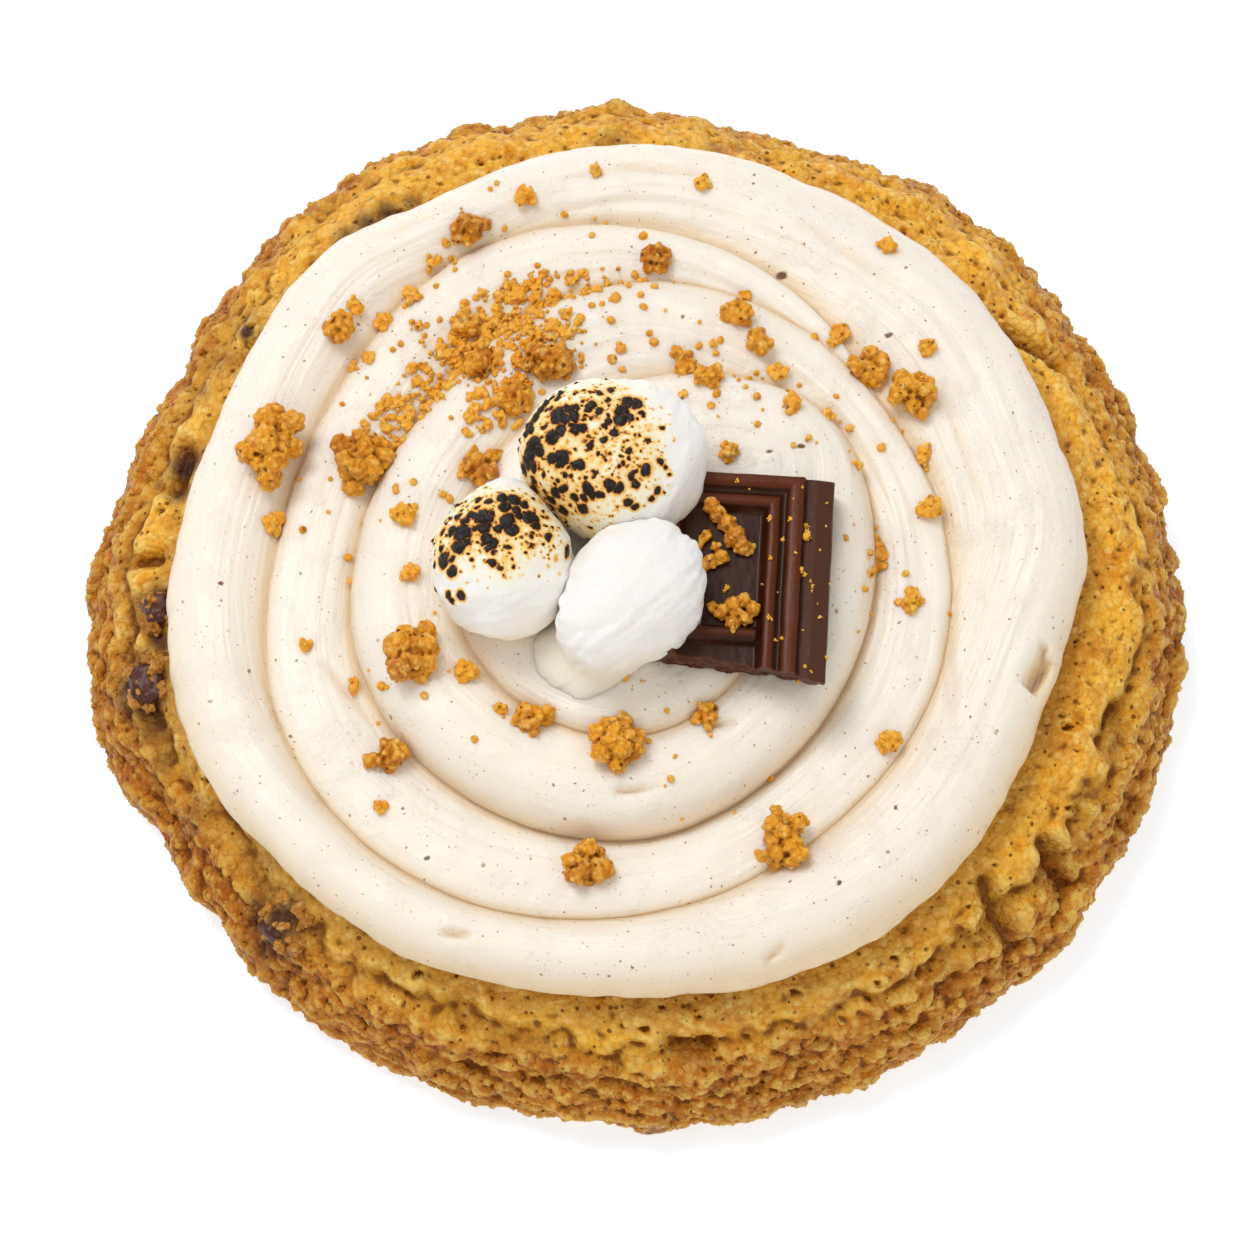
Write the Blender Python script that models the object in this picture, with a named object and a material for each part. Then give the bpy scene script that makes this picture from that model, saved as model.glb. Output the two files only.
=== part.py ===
"""Frosted cookie with toasted marshmallows, a piece of chocolate and cookie crumbs.

A thick, craggy round cookie carries a flat swirl of frosting, piped as one rope that
winds inwards.  Three marshmallows, a moulded chocolate piece and crumbs lie on it, and
three chocolate chunks show in the cookie's edge.

Metres, +Z up.  The flat underside is at z = 0 with its box centred on the origin, and
-Y is the side that faces the viewer.  Angles run from +X towards +Y.
"""
import math
import random

import bmesh
import bpy
from mathutils import Matrix, Vector, noise
from mathutils.bvhtree import BVHTree

MM = 0.001

# Clear space, in millimetres, that a seat leaves round the piece that lies in it.
SEAT_GAP = 0.35

# Cookie: its widest radius every 15 degrees, and its section from the top's edge down.
COOKIE_RADII = (
    51.6, 50.6, 50.1, 51.1, 50.4, 49.0, 50.9, 50.9, 51.6, 51.3, 49.7, 50.3,
    51.8, 52.1, 50.0, 50.4, 50.8, 50.7, 50.9, 50.6, 50.9, 51.5, 51.6, 51.7,
)
COOKIE_TOP = 16.0
FLAT_TOP_INSET = 11.0
RIM_SECTION = (
    (11.0, 16.0), (8.3, 15.5), (6.2, 14.6), (4.4, 13.3), (3.1, 11.6), (2.3, 9.8),
    (1.7, 8.2), (0.6, 6.4), (0.1, 4.4), (0.2, 2.4), (0.8, 0.9), (1.9, 0.0),
)
TRENCH_DEPTHS = (1.0, 0.5, 0.4, 0.4, 0.5, 0.9, 1.7, 1.3, 1.5, 1.1, 1.4, 1.8)
COOKIE_COLUMNS = 180
COOKIE_ROWS = 68
COOKIE_TRIANGLES = 4300

# Breaks in the cookie's top: x, y, heading in degrees, length, width, depth.
BREAKS = (
    (37.6, 21.5, -22.0, 6.0, 0.8, 1.7),
    (-35.8, 21.5, 40.0, 2.2, 0.9, 1.6),
    (-43.0, 9.0, 80.0, 3.6, 1.2, 2.0),
    (-45.6, 0.0, 0.0, 1.6, 0.7, 1.6),
    (38.8, -29.5, -50.0, 5.0, 1.0, 1.9),
    (32.6, -33.4, -60.0, 4.5, 1.0, 1.7),
    (43.5, -16.0, 60.0, 4.0, 0.9, 1.6),
    (4.7, -46.6, 5.0, 3.0, 0.8, 1.2),
)

# Frosting: its outer edge every 15 degrees, and the groove between the rope's turns.
FROSTING_RADII = (
    41.1, 40.3, 40.2, 40.2, 39.7, 40.0, 40.5, 40.1, 39.8, 41.4, 41.0, 40.9,
    42.3, 44.0, 44.9, 44.3, 44.2, 43.4, 42.8, 43.0, 42.9, 41.9, 40.4, 40.1,
)
FROSTING_BASE = 16.3
FROSTING_WAIST = 18.0
FROSTING_UNDERCUT = 1.8
GROOVE_START = 30
GROOVE_STEP = 30
GROOVE_RADII = (
    25.4, 27.9, 30.5, 32.0, 31.0, 32.6, 37.0, 38.2, 36.1, 32.9, 30.6, 27.9,
    25.4, 24.9, 24.5, 23.2, 22.8, 25.2, 28.4, 29.4, 28.9, 25.7, 23.0, 21.5,
    20.7, 17.0, 14.0, 13.3, 14.2, 15.8, 18.6, 20.4, 20.4, 17.5, 13.0, 7.0, 0.0,
)
PROFILE_STEP = 90
GROOVE_FLOORS = (21.8, 21.0, 20.6, 20.8, 21.8, 21.8, 20.6, 19.9, 22.0, 24.0, 23.8, 24.2, 25.6)
ROPE_CRESTS = (22.7, 22.4, 22.0, 21.7, 22.9, 24.4, 25.3, 25.6, 25.5, 25.8, 25.8, 25.9, 25.6)
OUTER_CREST = 22.7
ROPE_RISE = 4.2
ROPE_STEEPNESS = 0.35
TURN_COLUMNS = 60
RISE_ROWS = 3
FALL_ROWS = 3

# Marshmallows: place, half height, outline every 45 degrees, and their seat in the frosting.
MARSHMALLOWS = {
    "marshmallow_back": {
        "place": (-2.2, 2.7, 31.0),
        "half_height": 6.5,
        "outline": (8.4, 8.5, 7.6, 8.4, 8.5, 7.2, 7.4, 7.8),
    },
    "marshmallow_left": {
        "place": (-11.9, -6.5, 30.3),
        "half_height": 6.0,
        "outline": (6.5, 6.3, 7.5, 6.5, 6.6, 6.8, 7.0, 6.6),
    },
    "marshmallow_front": {
        "place": (-0.3, -9.6, 30.8),
        "half_height": 6.3,
        "outline": (6.4, 6.8, 6.4, 6.3, 6.2, 8.4, 6.2, 5.9),
    },
}
MARSHMALLOW_ROUNDNESS = 2.5
MELTED_FOOT_PLACE = (-5.2, -13.6, 25.7)
MELTED_FOOT_SIZE = (4.5, 3.6, 1.9)
MELTED_DRIP_PLACE = (-4.6, -16.4, 25.2)
MELTED_DRIP_SIZE = (1.1, 1.1, 0.9)

# Chocolate piece: a flange along its right side, then stepped frames round a sunk panel.
CHOCOLATE_CENTRE = (8.7, -7.7)
CHOCOLATE_TURN = -3.5
CHOCOLATE_WIDTH = 16.6
CHOCOLATE_LENGTH = 20.0
CHOCOLATE_BASE = 25.2
CHOCOLATE_TOP = 30.0
FLANGE_WIDTH = 2.75
FLANGE_DROP = 0.7
FRAME_STEPS = ((1.2, 0.0), (0.3, -0.45), (0.2, 0.0), (0.2, 0.3), (1.1, 0.0), (0.7, -0.9))
MOULDED_PAST_BREAK = 4.5
FRONT_RAIL_ENDS = (-5.2, 2.7)
FRONT_RAIL_SIDES = (-5.9, -4.3)
FRONT_RAIL_FOOT = -1.6
FRONT_RAIL_CREST = -0.19
FRONT_RAIL_ROUNDING = 0.45
SNAPPED_EDGE = ((-9.0, -6.9), (-1.9, -7.3), (2.4, -8.1), (4.0, -8.5), (5.6, -8.8), (9.0, -9.2))
SNAPPED_EDGE_STEPS = 22
SNAPPED_EDGE_UNDERCUT = 1.1
SNAPPED_EDGE_CHIPS = 0.35

# Crumbs on the frosting: x, y, width, depth.
CRUMBS = (
    (-33.5, 7.0, 6.4, 8.6), (-25.1, 5.7, 6.2, 6.2), (-20.2, -13.7, 5.0, 6.2),
    (-1.9, -21.9, 5.2, 5.6), (12.7, -29.8, 5.4, 5.4), (-4.4, -32.1, 4.7, 4.6),
    (25.1, 12.5, 4.9, 4.7), (21.3, 15.3, 4.0, 3.9), (-14.1, 4.6, 4.2, 3.9),
    (-8.2, 15.0, 4.8, 4.3), (-22.4, -22.1, 4.4, 3.3), (-15.6, 29.3, 4.0, 3.1),
    (-9.3, -19.6, 3.9, 3.2), (-14.6, 15.3, 3.5, 3.9), (-11.3, 11.1, 3.3, 3.3),
    (-27.6, 19.1, 2.9, 3.2), (9.1, 20.2, 3.2, 2.7), (11.2, 17.3, 2.7, 3.1),
    (4.2, 15.3, 2.3, 3.4), (6.4, 13.3, 2.7, 2.5), (21.7, -2.7, 1.8, 4.0),
    (1.7, 26.1, 3.1, 3.0), (-15.9, 19.6, 2.9, 2.6), (5.9, -19.2, 2.4, 2.8),
    (-15.2, -15.2, 2.5, 2.2), (26.3, 1.5, 2.6, 2.3), (24.8, -7.4, 2.2, 2.6),
    (22.4, -20.7, 2.5, 2.2), (-33.1, 0.4, 2.1, 2.3), (-10.4, 32.5, 2.2, 2.2),
    (-21.2, -0.3, 2.5, 2.3), (8.2, 5.6, 2.0, 2.0), (23.2, 27.5, 2.0, 1.7),
    (18.6, 18.6, 2.3, 2.4),
)
CRUMB_FLATNESS = 0.78
CRUMB_SINK = 0.22
SMALL_CRUMB = 3.4

# Crumbs on the chocolate: x, y, width, depth, turn.
CHOCOLATE_CRUMBS = (
    (7.9, -2.5, 3.2, 6.0, 35.0),
    (6.6, -5.3, 3.0, 2.6, 0.0),
    (8.6, -10.5, 4.6, 3.3, 15.0),
)

# Chunks that show in the cookie's edge: x, y, z, size along the rim, depth and height.
CHUNKS = {
    "chunk_front": (-31.8, -34.4, 9.4, 4.8, 3.4, 3.0),
    "chunk_left": (-44.9, -12.0, 13.1, 3.8, 3.4, 2.8),
    "chunk_rim": (-44.2, -5.4, 14.9, 3.2, 2.2, 2.2),
}

COLLECTION_NAME = "smores_cookie"
CUTTER_COLLECTION_NAME = "smores_cookie_cutters"


def remove_scene_objects():
    """Start from an empty scene."""
    for old in list(bpy.data.objects):
        bpy.data.objects.remove(old, do_unlink=True)


def make_collection(name):
    collection = bpy.data.collections.new(name)
    bpy.context.scene.collection.children.link(collection)
    return collection


def make_material(name, colour, roughness, metallic=0.0):
    material = bpy.data.materials.new(name)
    material.use_nodes = True
    shader = material.node_tree.nodes["Principled BSDF"]
    shader.inputs["Base Color"].default_value = (*colour, 1.0)
    shader.inputs["Roughness"].default_value = roughness
    shader.inputs["Metallic"].default_value = metallic
    return material


def make_object(name, bm, collection, material=None):
    """Turn a bmesh whose coordinates are in millimetres into an object in metres."""
    bmesh.ops.scale(bm, vec=(MM, MM, MM), verts=bm.verts)
    bmesh.ops.recalc_face_normals(bm, faces=bm.faces)
    mesh = bpy.data.meshes.new(name)
    bm.to_mesh(mesh)
    bm.free()
    mesh.shade_smooth()
    if material:
        mesh.materials.append(material)
    piece = bpy.data.objects.new(name, mesh)
    collection.objects.link(piece)
    return piece


def hide_cutter(cutter):
    cutter.hide_render = True
    cutter.display_type = "WIRE"


def apply_modifiers(piece):
    """Replace a piece's mesh by its evaluated one and drop its modifiers."""
    depsgraph = bpy.context.evaluated_depsgraph_get()
    mesh = bpy.data.meshes.new_from_object(piece.evaluated_get(depsgraph))
    old = piece.data
    piece.modifiers.clear()
    piece.data = mesh
    bpy.data.meshes.remove(old)


def subtract(piece, cutters):
    """Cut a collection of closed cutters out of a piece."""
    cut = piece.modifiers.new("Seats", "BOOLEAN")
    cut.operation = "DIFFERENCE"
    cut.operand_type = "COLLECTION"
    cut.collection = cutters
    apply_modifiers(piece)


def fuse(piece, additions):
    """Join a collection's objects to a piece as one body, then remove them."""
    join = piece.modifiers.new("Crumbs", "BOOLEAN")
    join.operation = "UNION"
    join.operand_type = "COLLECTION"
    join.collection = additions
    apply_modifiers(piece)
    for crumb in list(additions.objects):
        bpy.data.objects.remove(crumb, do_unlink=True)
    bpy.data.collections.remove(additions)


def keep_largest_body(piece):
    """Drop loose scraps that a cut can leave beside the main body."""
    bm = bmesh.new()
    bm.from_mesh(piece.data)
    unseen = set(bm.verts)
    bodies = []
    while unseen:
        stack = [unseen.pop()]
        body = list(stack)
        while stack:
            for edge in stack.pop().link_edges:
                for vert in edge.verts:
                    if vert in unseen:
                        unseen.remove(vert)
                        stack.append(vert)
                        body.append(vert)
        bodies.append(body)
    bodies.sort(key=len)
    for body in bodies[:-1]:
        bmesh.ops.delete(bm, geom=body, context="VERTS")
    bm.to_mesh(piece.data)
    bm.free()


def cubic(before, start, end, after, share):
    """Smooth curve from start to end that heads for its neighbours (Catmull-Rom)."""
    return 0.5 * (
        2.0 * start
        + (end - before) * share
        + (2.0 * before - 5.0 * start + 4.0 * end - after) * share ** 2
        + (3.0 * start - before - 3.0 * end + after) * share ** 3
    )


def around(values, degrees):
    """Value at an angle, from values spaced evenly round a full turn."""
    count = len(values)
    position = (degrees % 360.0) * count / 360.0
    index = int(position)
    picks = [values[(index + step) % count] for step in (-1, 0, 1, 2)]
    return cubic(*picks, position - index)


def along(values, position):
    """Value at a position in an open, evenly spaced run of values."""
    last = len(values) - 1
    position = min(max(position, 0.0), float(last))
    index = min(int(position), last - 1)
    picks = [values[min(max(index + step, 0), last)] for step in (-1, 0, 1, 2)]
    return cubic(*picks, position - index)


def smoothstep(low, high, value):
    share = min(max((value - low) / (high - low), 0.0), 1.0)
    return share * share * (3.0 - 2.0 * share)


def cookie_section(degrees):
    """Points (radius, height) from the top's middle, out round the rim, to the bottom's middle."""
    radius = around(COOKIE_RADII, degrees)
    flat = radius - FLAT_TOP_INSET
    middle = [(0.0, COOKIE_TOP), (0.5 * flat, COOKIE_TOP), (0.85 * flat, COOKIE_TOP)]
    rim = [(radius - inset, height) for inset, height in RIM_SECTION]
    underside = [(0.8 * radius, 0.0), (0.4 * radius, 0.0), (0.0, 0.0)]
    return middle + rim + underside


def cookie_relief(point, radius, degrees):
    """How far the surface stands out (mm): lumps, layers in the side, trench and breaks."""
    inset = radius - math.hypot(point.x, point.y)
    rim = smoothstep(9.5, 6.5, inset) * smoothstep(0.2, 1.4, point.z)
    side = smoothstep(13.0, 10.0, point.z)
    lumps = 0.8 * noise.noise(point / 4.8) + 0.5 * noise.noise(point / 2.3)
    layers = 0.8 * noise.noise(Vector((point.x / 9.0, point.y / 9.0, point.z / 1.5)))
    ragged = 4.0 + 1.6 * noise.noise(Vector((point.x, point.y, 0.0)) / 5.0)
    trench = around(TRENCH_DEPTHS, degrees) * math.exp(-(((inset - ragged) / 0.9) ** 2))
    relief = rim * (lumps + side * layers - (1.0 - side) * trench)
    if point.z > 8.0:
        relief -= break_depth(point)
    return relief


def break_depth(point):
    deepest = 0.0
    for x, y, heading, length, width, depth in BREAKS:
        turn = math.radians(heading)
        away_x, away_y = point.x - x, point.y - y
        run = away_x * math.cos(turn) + away_y * math.sin(turn)
        across = away_y * math.cos(turn) - away_x * math.sin(turn)
        past_end = max(0.0, abs(run) - length / 2.0)
        deepest = max(deepest, depth * math.exp(-((across / width) ** 2) - (past_end / width) ** 2))
    return deepest


def cookie_point(degrees, share):
    """Surface point at an angle; share runs from 0 at the top's middle to 1 underneath."""
    section = cookie_section(degrees)
    position = share * (len(section) - 1)
    radii = [radius for radius, height in section]
    heights = [height for radius, height in section]
    step = 0.1
    along_rim = along(radii, position + step) - along(radii, position - step)
    down_rim = along(heights, position + step) - along(heights, position - step)
    slant = math.hypot(along_rim, down_rim) or 1.0
    turn = math.radians(degrees)
    reach, height = along(radii, position), min(max(along(heights, position), 0.0), COOKIE_TOP)
    flat_point = Vector((reach * math.cos(turn), reach * math.sin(turn), height))
    relief = cookie_relief(flat_point, around(COOKIE_RADII, degrees), degrees)
    reach = max(reach - relief * down_rim / slant, 0.0)
    height = max(height + relief * along_rim / slant, 0.0)
    return Vector((reach * math.cos(turn), reach * math.sin(turn), height))


def build_cookie(collection, material):
    """A fine sphere is moulded to the cookie's section, then thinned to fewer faces."""
    bm = bmesh.new()
    bmesh.ops.create_uvsphere(bm, u_segments=COOKIE_COLUMNS, v_segments=COOKIE_ROWS, radius=1.0)
    for vert in bm.verts:
        degrees = math.degrees(math.atan2(vert.co.y, vert.co.x)) % 360.0
        share = math.acos(min(max(vert.co.z, -1.0), 1.0)) / math.pi
        vert.co = cookie_point(degrees, share)
    bmesh.ops.triangulate(bm, faces=bm.faces)
    triangles = len(bm.faces)
    cookie = make_object("cookie", bm, collection, material)
    thin = cookie.modifiers.new("Fewer faces", "DECIMATE")
    thin.ratio = COOKIE_TRIANGLES / triangles
    apply_modifiers(cookie)
    return cookie


def outer_radius(turn_degrees):
    """Outer edge of the rope: the frosting's own edge on the first turn, then the groove."""
    if turn_degrees < GROOVE_START:
        return around(FROSTING_RADII, turn_degrees)
    return along(GROOVE_RADII, (turn_degrees - GROOVE_START) / GROOVE_STEP)


def rope_height(values, turn_degrees):
    return along(values, (turn_degrees - GROOVE_START) / PROFILE_STEP)


def rope_point(turn_degrees, share):
    """Point on the rope's top; share runs from its outer edge to its inner edge.

    The rope rises from the groove as a quarter round, then falls gently to the next groove.
    """
    outer = outer_radius(turn_degrees)
    inner = outer_radius(turn_degrees + 360)
    width = outer - inner
    inner_floor = rope_height(GROOVE_FLOORS, turn_degrees + 360)
    if turn_degrees < GROOVE_START:
        outer_floor, crest, sunk = FROSTING_WAIST, OUTER_CREST, FROSTING_WAIST
    else:
        outer_floor = rope_height(GROOVE_FLOORS, turn_degrees)
        sunk = 0.5 * (outer_floor + inner_floor)
        crest = min(rope_height(ROPE_CRESTS, turn_degrees), sunk + ROPE_STEEPNESS * width)
        crest = max(crest, outer_floor, inner_floor)
    rise = min(ROPE_RISE, 0.45 * width)
    rise_share = RISE_ROWS / (RISE_ROWS + FALL_ROWS)
    if share < rise_share:
        lean = 0.5 * math.pi * share / rise_share
        inset = rise * (1.0 - math.cos(lean))
        height = outer_floor + (crest - outer_floor) * math.sin(lean)
    else:
        fall = (share - rise_share) / (1.0 - rise_share)
        inset = rise + (width - rise) * fall
        height = crest - (crest - inner_floor) * fall ** 2.4
    turn = math.radians(turn_degrees)
    return Vector(((outer - inset) * math.cos(turn), (outer - inset) * math.sin(turn), height))


def build_frosting(collection, material):
    """The rope's strip is lofted round the spiral, each turn sharing its edge with the next.

    Column numbers run on from turn to turn.  The first turn closes on itself as the outer
    ring; the second starts from a point on the ring's inner edge; the fourth ends in the
    middle, where all its rows meet.
    """
    bm = bmesh.new()
    rows = RISE_ROWS + FALL_ROWS
    last_column = 4 * TURN_COLUMNS
    start_point = bm.verts.new(rope_point(GROOVE_START, 0.0))
    middle = bm.verts.new((0.0, 0.0, GROOVE_FLOORS[-1]))
    grid = {}

    def rope_vert(column, row):
        if row == rows:
            column, row = column + TURN_COLUMNS, 0
        if column >= last_column:
            return middle
        if column == TURN_COLUMNS or (column == 2 * TURN_COLUMNS and row == 0):
            return start_point
        if (column, row) not in grid:
            degrees = GROOVE_START - 360 + 360 * column / TURN_COLUMNS
            grid[column, row] = bm.verts.new(rope_point(degrees, row / rows))
        return grid[column, row]

    def ring_vert(column, row):
        if row == rows:
            return rope_vert(column, row)
        return rope_vert(column % TURN_COLUMNS, row)

    def add_face(corners):
        distinct = [vert for index, vert in enumerate(corners) if vert not in corners[:index]]
        if len(distinct) > 2:
            bm.faces.new(distinct)

    for column in range(last_column):
        pick = ring_vert if column < TURN_COLUMNS else rope_vert
        for row in range(rows):
            add_face((pick(column, row), pick(column + 1, row),
                      pick(column + 1, row + 1), pick(column, row + 1)))

    bottom = bm.verts.new((0.0, 0.0, FROSTING_BASE))
    walls = []
    for column in range(TURN_COLUMNS):
        degrees = GROOVE_START - 360 + 360 * column / TURN_COLUMNS
        turn, edge = math.radians(degrees), outer_radius(degrees)
        wall = [ring_vert(column, 0)]
        for lean in (math.radians(50.0), math.radians(0.0)):
            reach = edge - FROSTING_UNDERCUT * (1.0 - math.sin(lean))
            height = FROSTING_WAIST - (FROSTING_WAIST - FROSTING_BASE) * math.cos(lean)
            wall.append(bm.verts.new((reach * math.cos(turn), reach * math.sin(turn), height)))
        inner = 0.5 * edge
        wall.append(bm.verts.new((inner * math.cos(turn), inner * math.sin(turn), FROSTING_BASE)))
        wall.append(bottom)
        walls.append(wall)
    for column, wall in enumerate(walls):
        following = walls[(column + 1) % TURN_COLUMNS]
        for row in range(len(wall) - 1):
            add_face((wall[row], wall[row + 1], following[row + 1], following[row]))
    bmesh.ops.triangulate(bm, faces=bm.faces)
    return make_object("frosting", bm, collection, material)


def marshmallow_point(direction, form, grow):
    """Soft barrel: the outline shrinks towards top and bottom as a rounded box does."""
    degrees = math.degrees(math.atan2(direction.y, direction.x))
    level = math.hypot(direction.x, direction.y)
    power = 2.0 / MARSHMALLOW_ROUNDNESS
    reach = (around(form["outline"], degrees) + grow) * level ** power
    height = math.copysign(abs(direction.z) ** power, direction.z) * (form["half_height"] + grow)
    turn = math.radians(degrees)
    dimple = Vector((reach * math.cos(turn), reach * math.sin(turn), height))
    swell = 1.0 + 0.035 * noise.noise(dimple / 3.5 + Vector(form["place"]))
    return Vector(form["place"]) + dimple * swell


def marshmallow_bmesh(form, grow):
    bm = bmesh.new()
    bmesh.ops.create_uvsphere(bm, u_segments=20, v_segments=11, radius=1.0)
    for vert in bm.verts:
        vert.co = marshmallow_point(vert.co.normalized(), form, grow)
    return bm


def blob_bmesh(place, size, grow):
    bm = bmesh.new()
    bmesh.ops.create_icosphere(bm, subdivisions=2, radius=1.0)
    for vert in bm.verts:
        vert.co = Vector([at + (half + grow) * co for at, half, co in zip(place, size, vert.co)])
    return bm


def build_marshmallows(collection, cutters, material):
    """The marshmallows press against each other, so each keeps clear of the ones it leans on."""
    pieces = {}
    for name, form in MARSHMALLOWS.items():
        pieces[name] = make_object(name, marshmallow_bmesh(form, 0.0), collection, material)
        cutter = make_object(name + "_seat", marshmallow_bmesh(form, SEAT_GAP), cutters)
        hide_cutter(cutter)
    melted = make_collection("melted_foot_parts")
    for place, size in ((MELTED_FOOT_PLACE, MELTED_FOOT_SIZE), (MELTED_DRIP_PLACE, MELTED_DRIP_SIZE)):
        make_object("melted_part", blob_bmesh(place, size, 0.0), melted)
        cutter = make_object("melted_part_seat", blob_bmesh(place, size, SEAT_GAP), cutters)
        hide_cutter(cutter)
    fuse(pieces["marshmallow_front"], melted)
    return pieces


def chocolate_frame():
    """Places the chocolate's own coordinates: middle of its plan, millimetres, top at z = 0."""
    return Matrix.Translation((*CHOCOLATE_CENTRE, CHOCOLATE_TOP)) @ Matrix.Rotation(
        math.radians(CHOCOLATE_TURN), 4, "Z")


def chocolate_bmesh(grow, with_frames):
    """A block whose top steps down through frames, widened on the right by a low flange.

    It runs on past the break, so the frames at its sides meet the broken face square on.
    """
    depth = CHOCOLATE_TOP - CHOCOLATE_BASE
    right = CHOCOLATE_WIDTH / 2.0 - FLANGE_WIDTH
    left = -CHOCOLATE_WIDTH / 2.0
    size = (right - left, CHOCOLATE_LENGTH + MOULDED_PAST_BREAK, depth)
    middle = ((right + left) / 2.0, -MOULDED_PAST_BREAK / 2.0, -depth / 2.0)
    bm = bmesh.new()
    bmesh.ops.create_cube(bm, size=1.0)
    for vert in bm.verts:
        vert.co = Vector([at + full * co for at, full, co in zip(middle, size, vert.co)])
    bm.faces.ensure_lookup_table()
    right_face = max(bm.faces, key=lambda face: face.calc_center_median().x)
    flange = bmesh.ops.extrude_face_region(bm, geom=[right_face])
    bmesh.ops.delete(bm, geom=[right_face], context="FACES_ONLY")
    for vert in [item for item in flange["geom"] if isinstance(item, bmesh.types.BMVert)]:
        vert.co.x += FLANGE_WIDTH
        if vert.co.z > -depth / 2.0:
            vert.co.z -= FLANGE_DROP
    if with_frames:
        is_top = [face for face in bm.faces if face.normal.z > 0.99]
        top = max(is_top, key=lambda face: face.calc_area())
        for thickness, rise in FRAME_STEPS:
            bmesh.ops.inset_region(bm, faces=[top], thickness=thickness, depth=rise)
    if grow:
        for vert in bm.verts:
            vert.co += Vector([math.copysign(grow, co - at) for co, at in zip(vert.co, (0, 0, -depth / 2))])
    bmesh.ops.transform(bm, matrix=chocolate_frame(), verts=bm.verts)
    return bm


def front_rail_bmesh():
    """A bar with a rounded crest that crosses the sunk panel as far as the right-hand frame."""
    sides = (FRONT_RAIL_ENDS, FRONT_RAIL_SIDES, (FRONT_RAIL_FOOT, FRONT_RAIL_CREST))
    bm = bmesh.new()
    bmesh.ops.create_cube(bm, size=1.0)
    for vert in bm.verts:
        vert.co = Vector([high if co > 0.0 else low for (low, high), co in zip(sides, vert.co)])
    crest = [edge for edge in bm.edges if edge.calc_length() > FRONT_RAIL_ENDS[1] - FRONT_RAIL_ENDS[0] - 0.1
             and edge.verts[0].co.z == edge.verts[1].co.z > FRONT_RAIL_FOOT + FRONT_RAIL_ROUNDING]
    bmesh.ops.bevel(bm, geom=crest, offset=FRONT_RAIL_ROUNDING, segments=2, affect="EDGES")
    bmesh.ops.transform(bm, matrix=chocolate_frame(), verts=bm.verts)
    return bm


def snapped_edge_bmesh(grow):
    """What is broken off the front: a slab whose back face follows the break."""
    bm = bmesh.new()
    depth = CHOCOLATE_TOP - CHOCOLATE_BASE
    start, end = SNAPPED_EDGE[0][0], SNAPPED_EDGE[-1][0]
    levels = [1.0, 0.0, -0.35 * depth, -0.7 * depth, -depth - 1.0]
    columns = []
    for index in range(SNAPPED_EDGE_STEPS + 1):
        across = start + (end - start) * index / SNAPPED_EDGE_STEPS
        column = []
        for level in levels:
            break_line = snapped_edge_at(across)
            depth_share = min(max(-level / depth, 0.0), 1.0)
            undercut = SNAPPED_EDGE_UNDERCUT * smoothstep(-1.0, 6.0, across) * depth_share
            chip = SNAPPED_EDGE_CHIPS * noise.noise(Vector((across / 1.3, level / 1.1, 4.0)))
            column.append(bm.verts.new((across, break_line + undercut + chip + grow, level)))
        columns.append(column)
    faces = []
    for column, following in zip(columns, columns[1:]):
        for row in range(len(levels) - 1):
            faces.append(bm.faces.new((column[row], column[row + 1], following[row + 1], following[row])))
    push = bmesh.ops.extrude_face_region(bm, geom=faces)
    for vert in [item for item in push["geom"] if isinstance(item, bmesh.types.BMVert)]:
        vert.co.y = -0.5 * CHOCOLATE_LENGTH - MOULDED_PAST_BREAK - 1.0
    bmesh.ops.transform(bm, matrix=chocolate_frame(), verts=bm.verts)
    bmesh.ops.recalc_face_normals(bm, faces=bm.faces)
    return bm


def snapped_edge_at(across):
    for (x0, y0), (x1, y1) in zip(SNAPPED_EDGE, SNAPPED_EDGE[1:]):
        if across <= x1:
            return y0 + (y1 - y0) * (across - x0) / (x1 - x0)
    return SNAPPED_EDGE[-1][1]


def cut_by(piece, cutter):
    cut = piece.modifiers.new("Snapped edge", "BOOLEAN")
    cut.operation = "DIFFERENCE"
    cut.object = cutter
    apply_modifiers(piece)


def build_chocolate(collection, cutters, material):
    chocolate = make_object("chocolate_piece", chocolate_bmesh(0.0, True), collection, material)
    rails = make_collection("chocolate_rails")
    make_object("front_rail", front_rail_bmesh(), rails)
    fuse(chocolate, rails)
    snap = make_object("chocolate_snap", snapped_edge_bmesh(0.0), cutters)
    hide_cutter(snap)
    cut_by(chocolate, snap)
    seat = make_object("chocolate_seat", chocolate_bmesh(SEAT_GAP, False), cutters)
    seat_snap = make_object("chocolate_seat_snap", snapped_edge_bmesh(-SEAT_GAP), cutters)
    hide_cutter(seat)
    cut_by(seat, seat_snap)
    for used in (snap, seat_snap):
        bpy.data.objects.remove(used, do_unlink=True)
    return chocolate


def crumb_bmesh(place, size, turn_degrees, random_source):
    """A lumpy ball of baked dough; the small ones have few faces."""
    width, depth, height = size
    bm = bmesh.new()
    bmesh.ops.create_icosphere(bm, subdivisions=2 if max(size) > SMALL_CRUMB else 1, radius=0.5)
    offset = Vector([random_source.uniform(0.0, 40.0) for _ in range(3)])
    for vert in bm.verts:
        lump = 1.0 + 0.55 * noise.noise(vert.co * 3.4 + offset) + 0.2 * noise.noise(vert.co * 7.0 + offset)
        vert.co = Vector((vert.co.x * width, vert.co.y * depth, vert.co.z * height)) * lump
    turn = Matrix.Rotation(math.radians(turn_degrees), 4, "Z")
    bmesh.ops.transform(bm, matrix=Matrix.Translation(place) @ turn, verts=bm.verts)
    return bm


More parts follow.
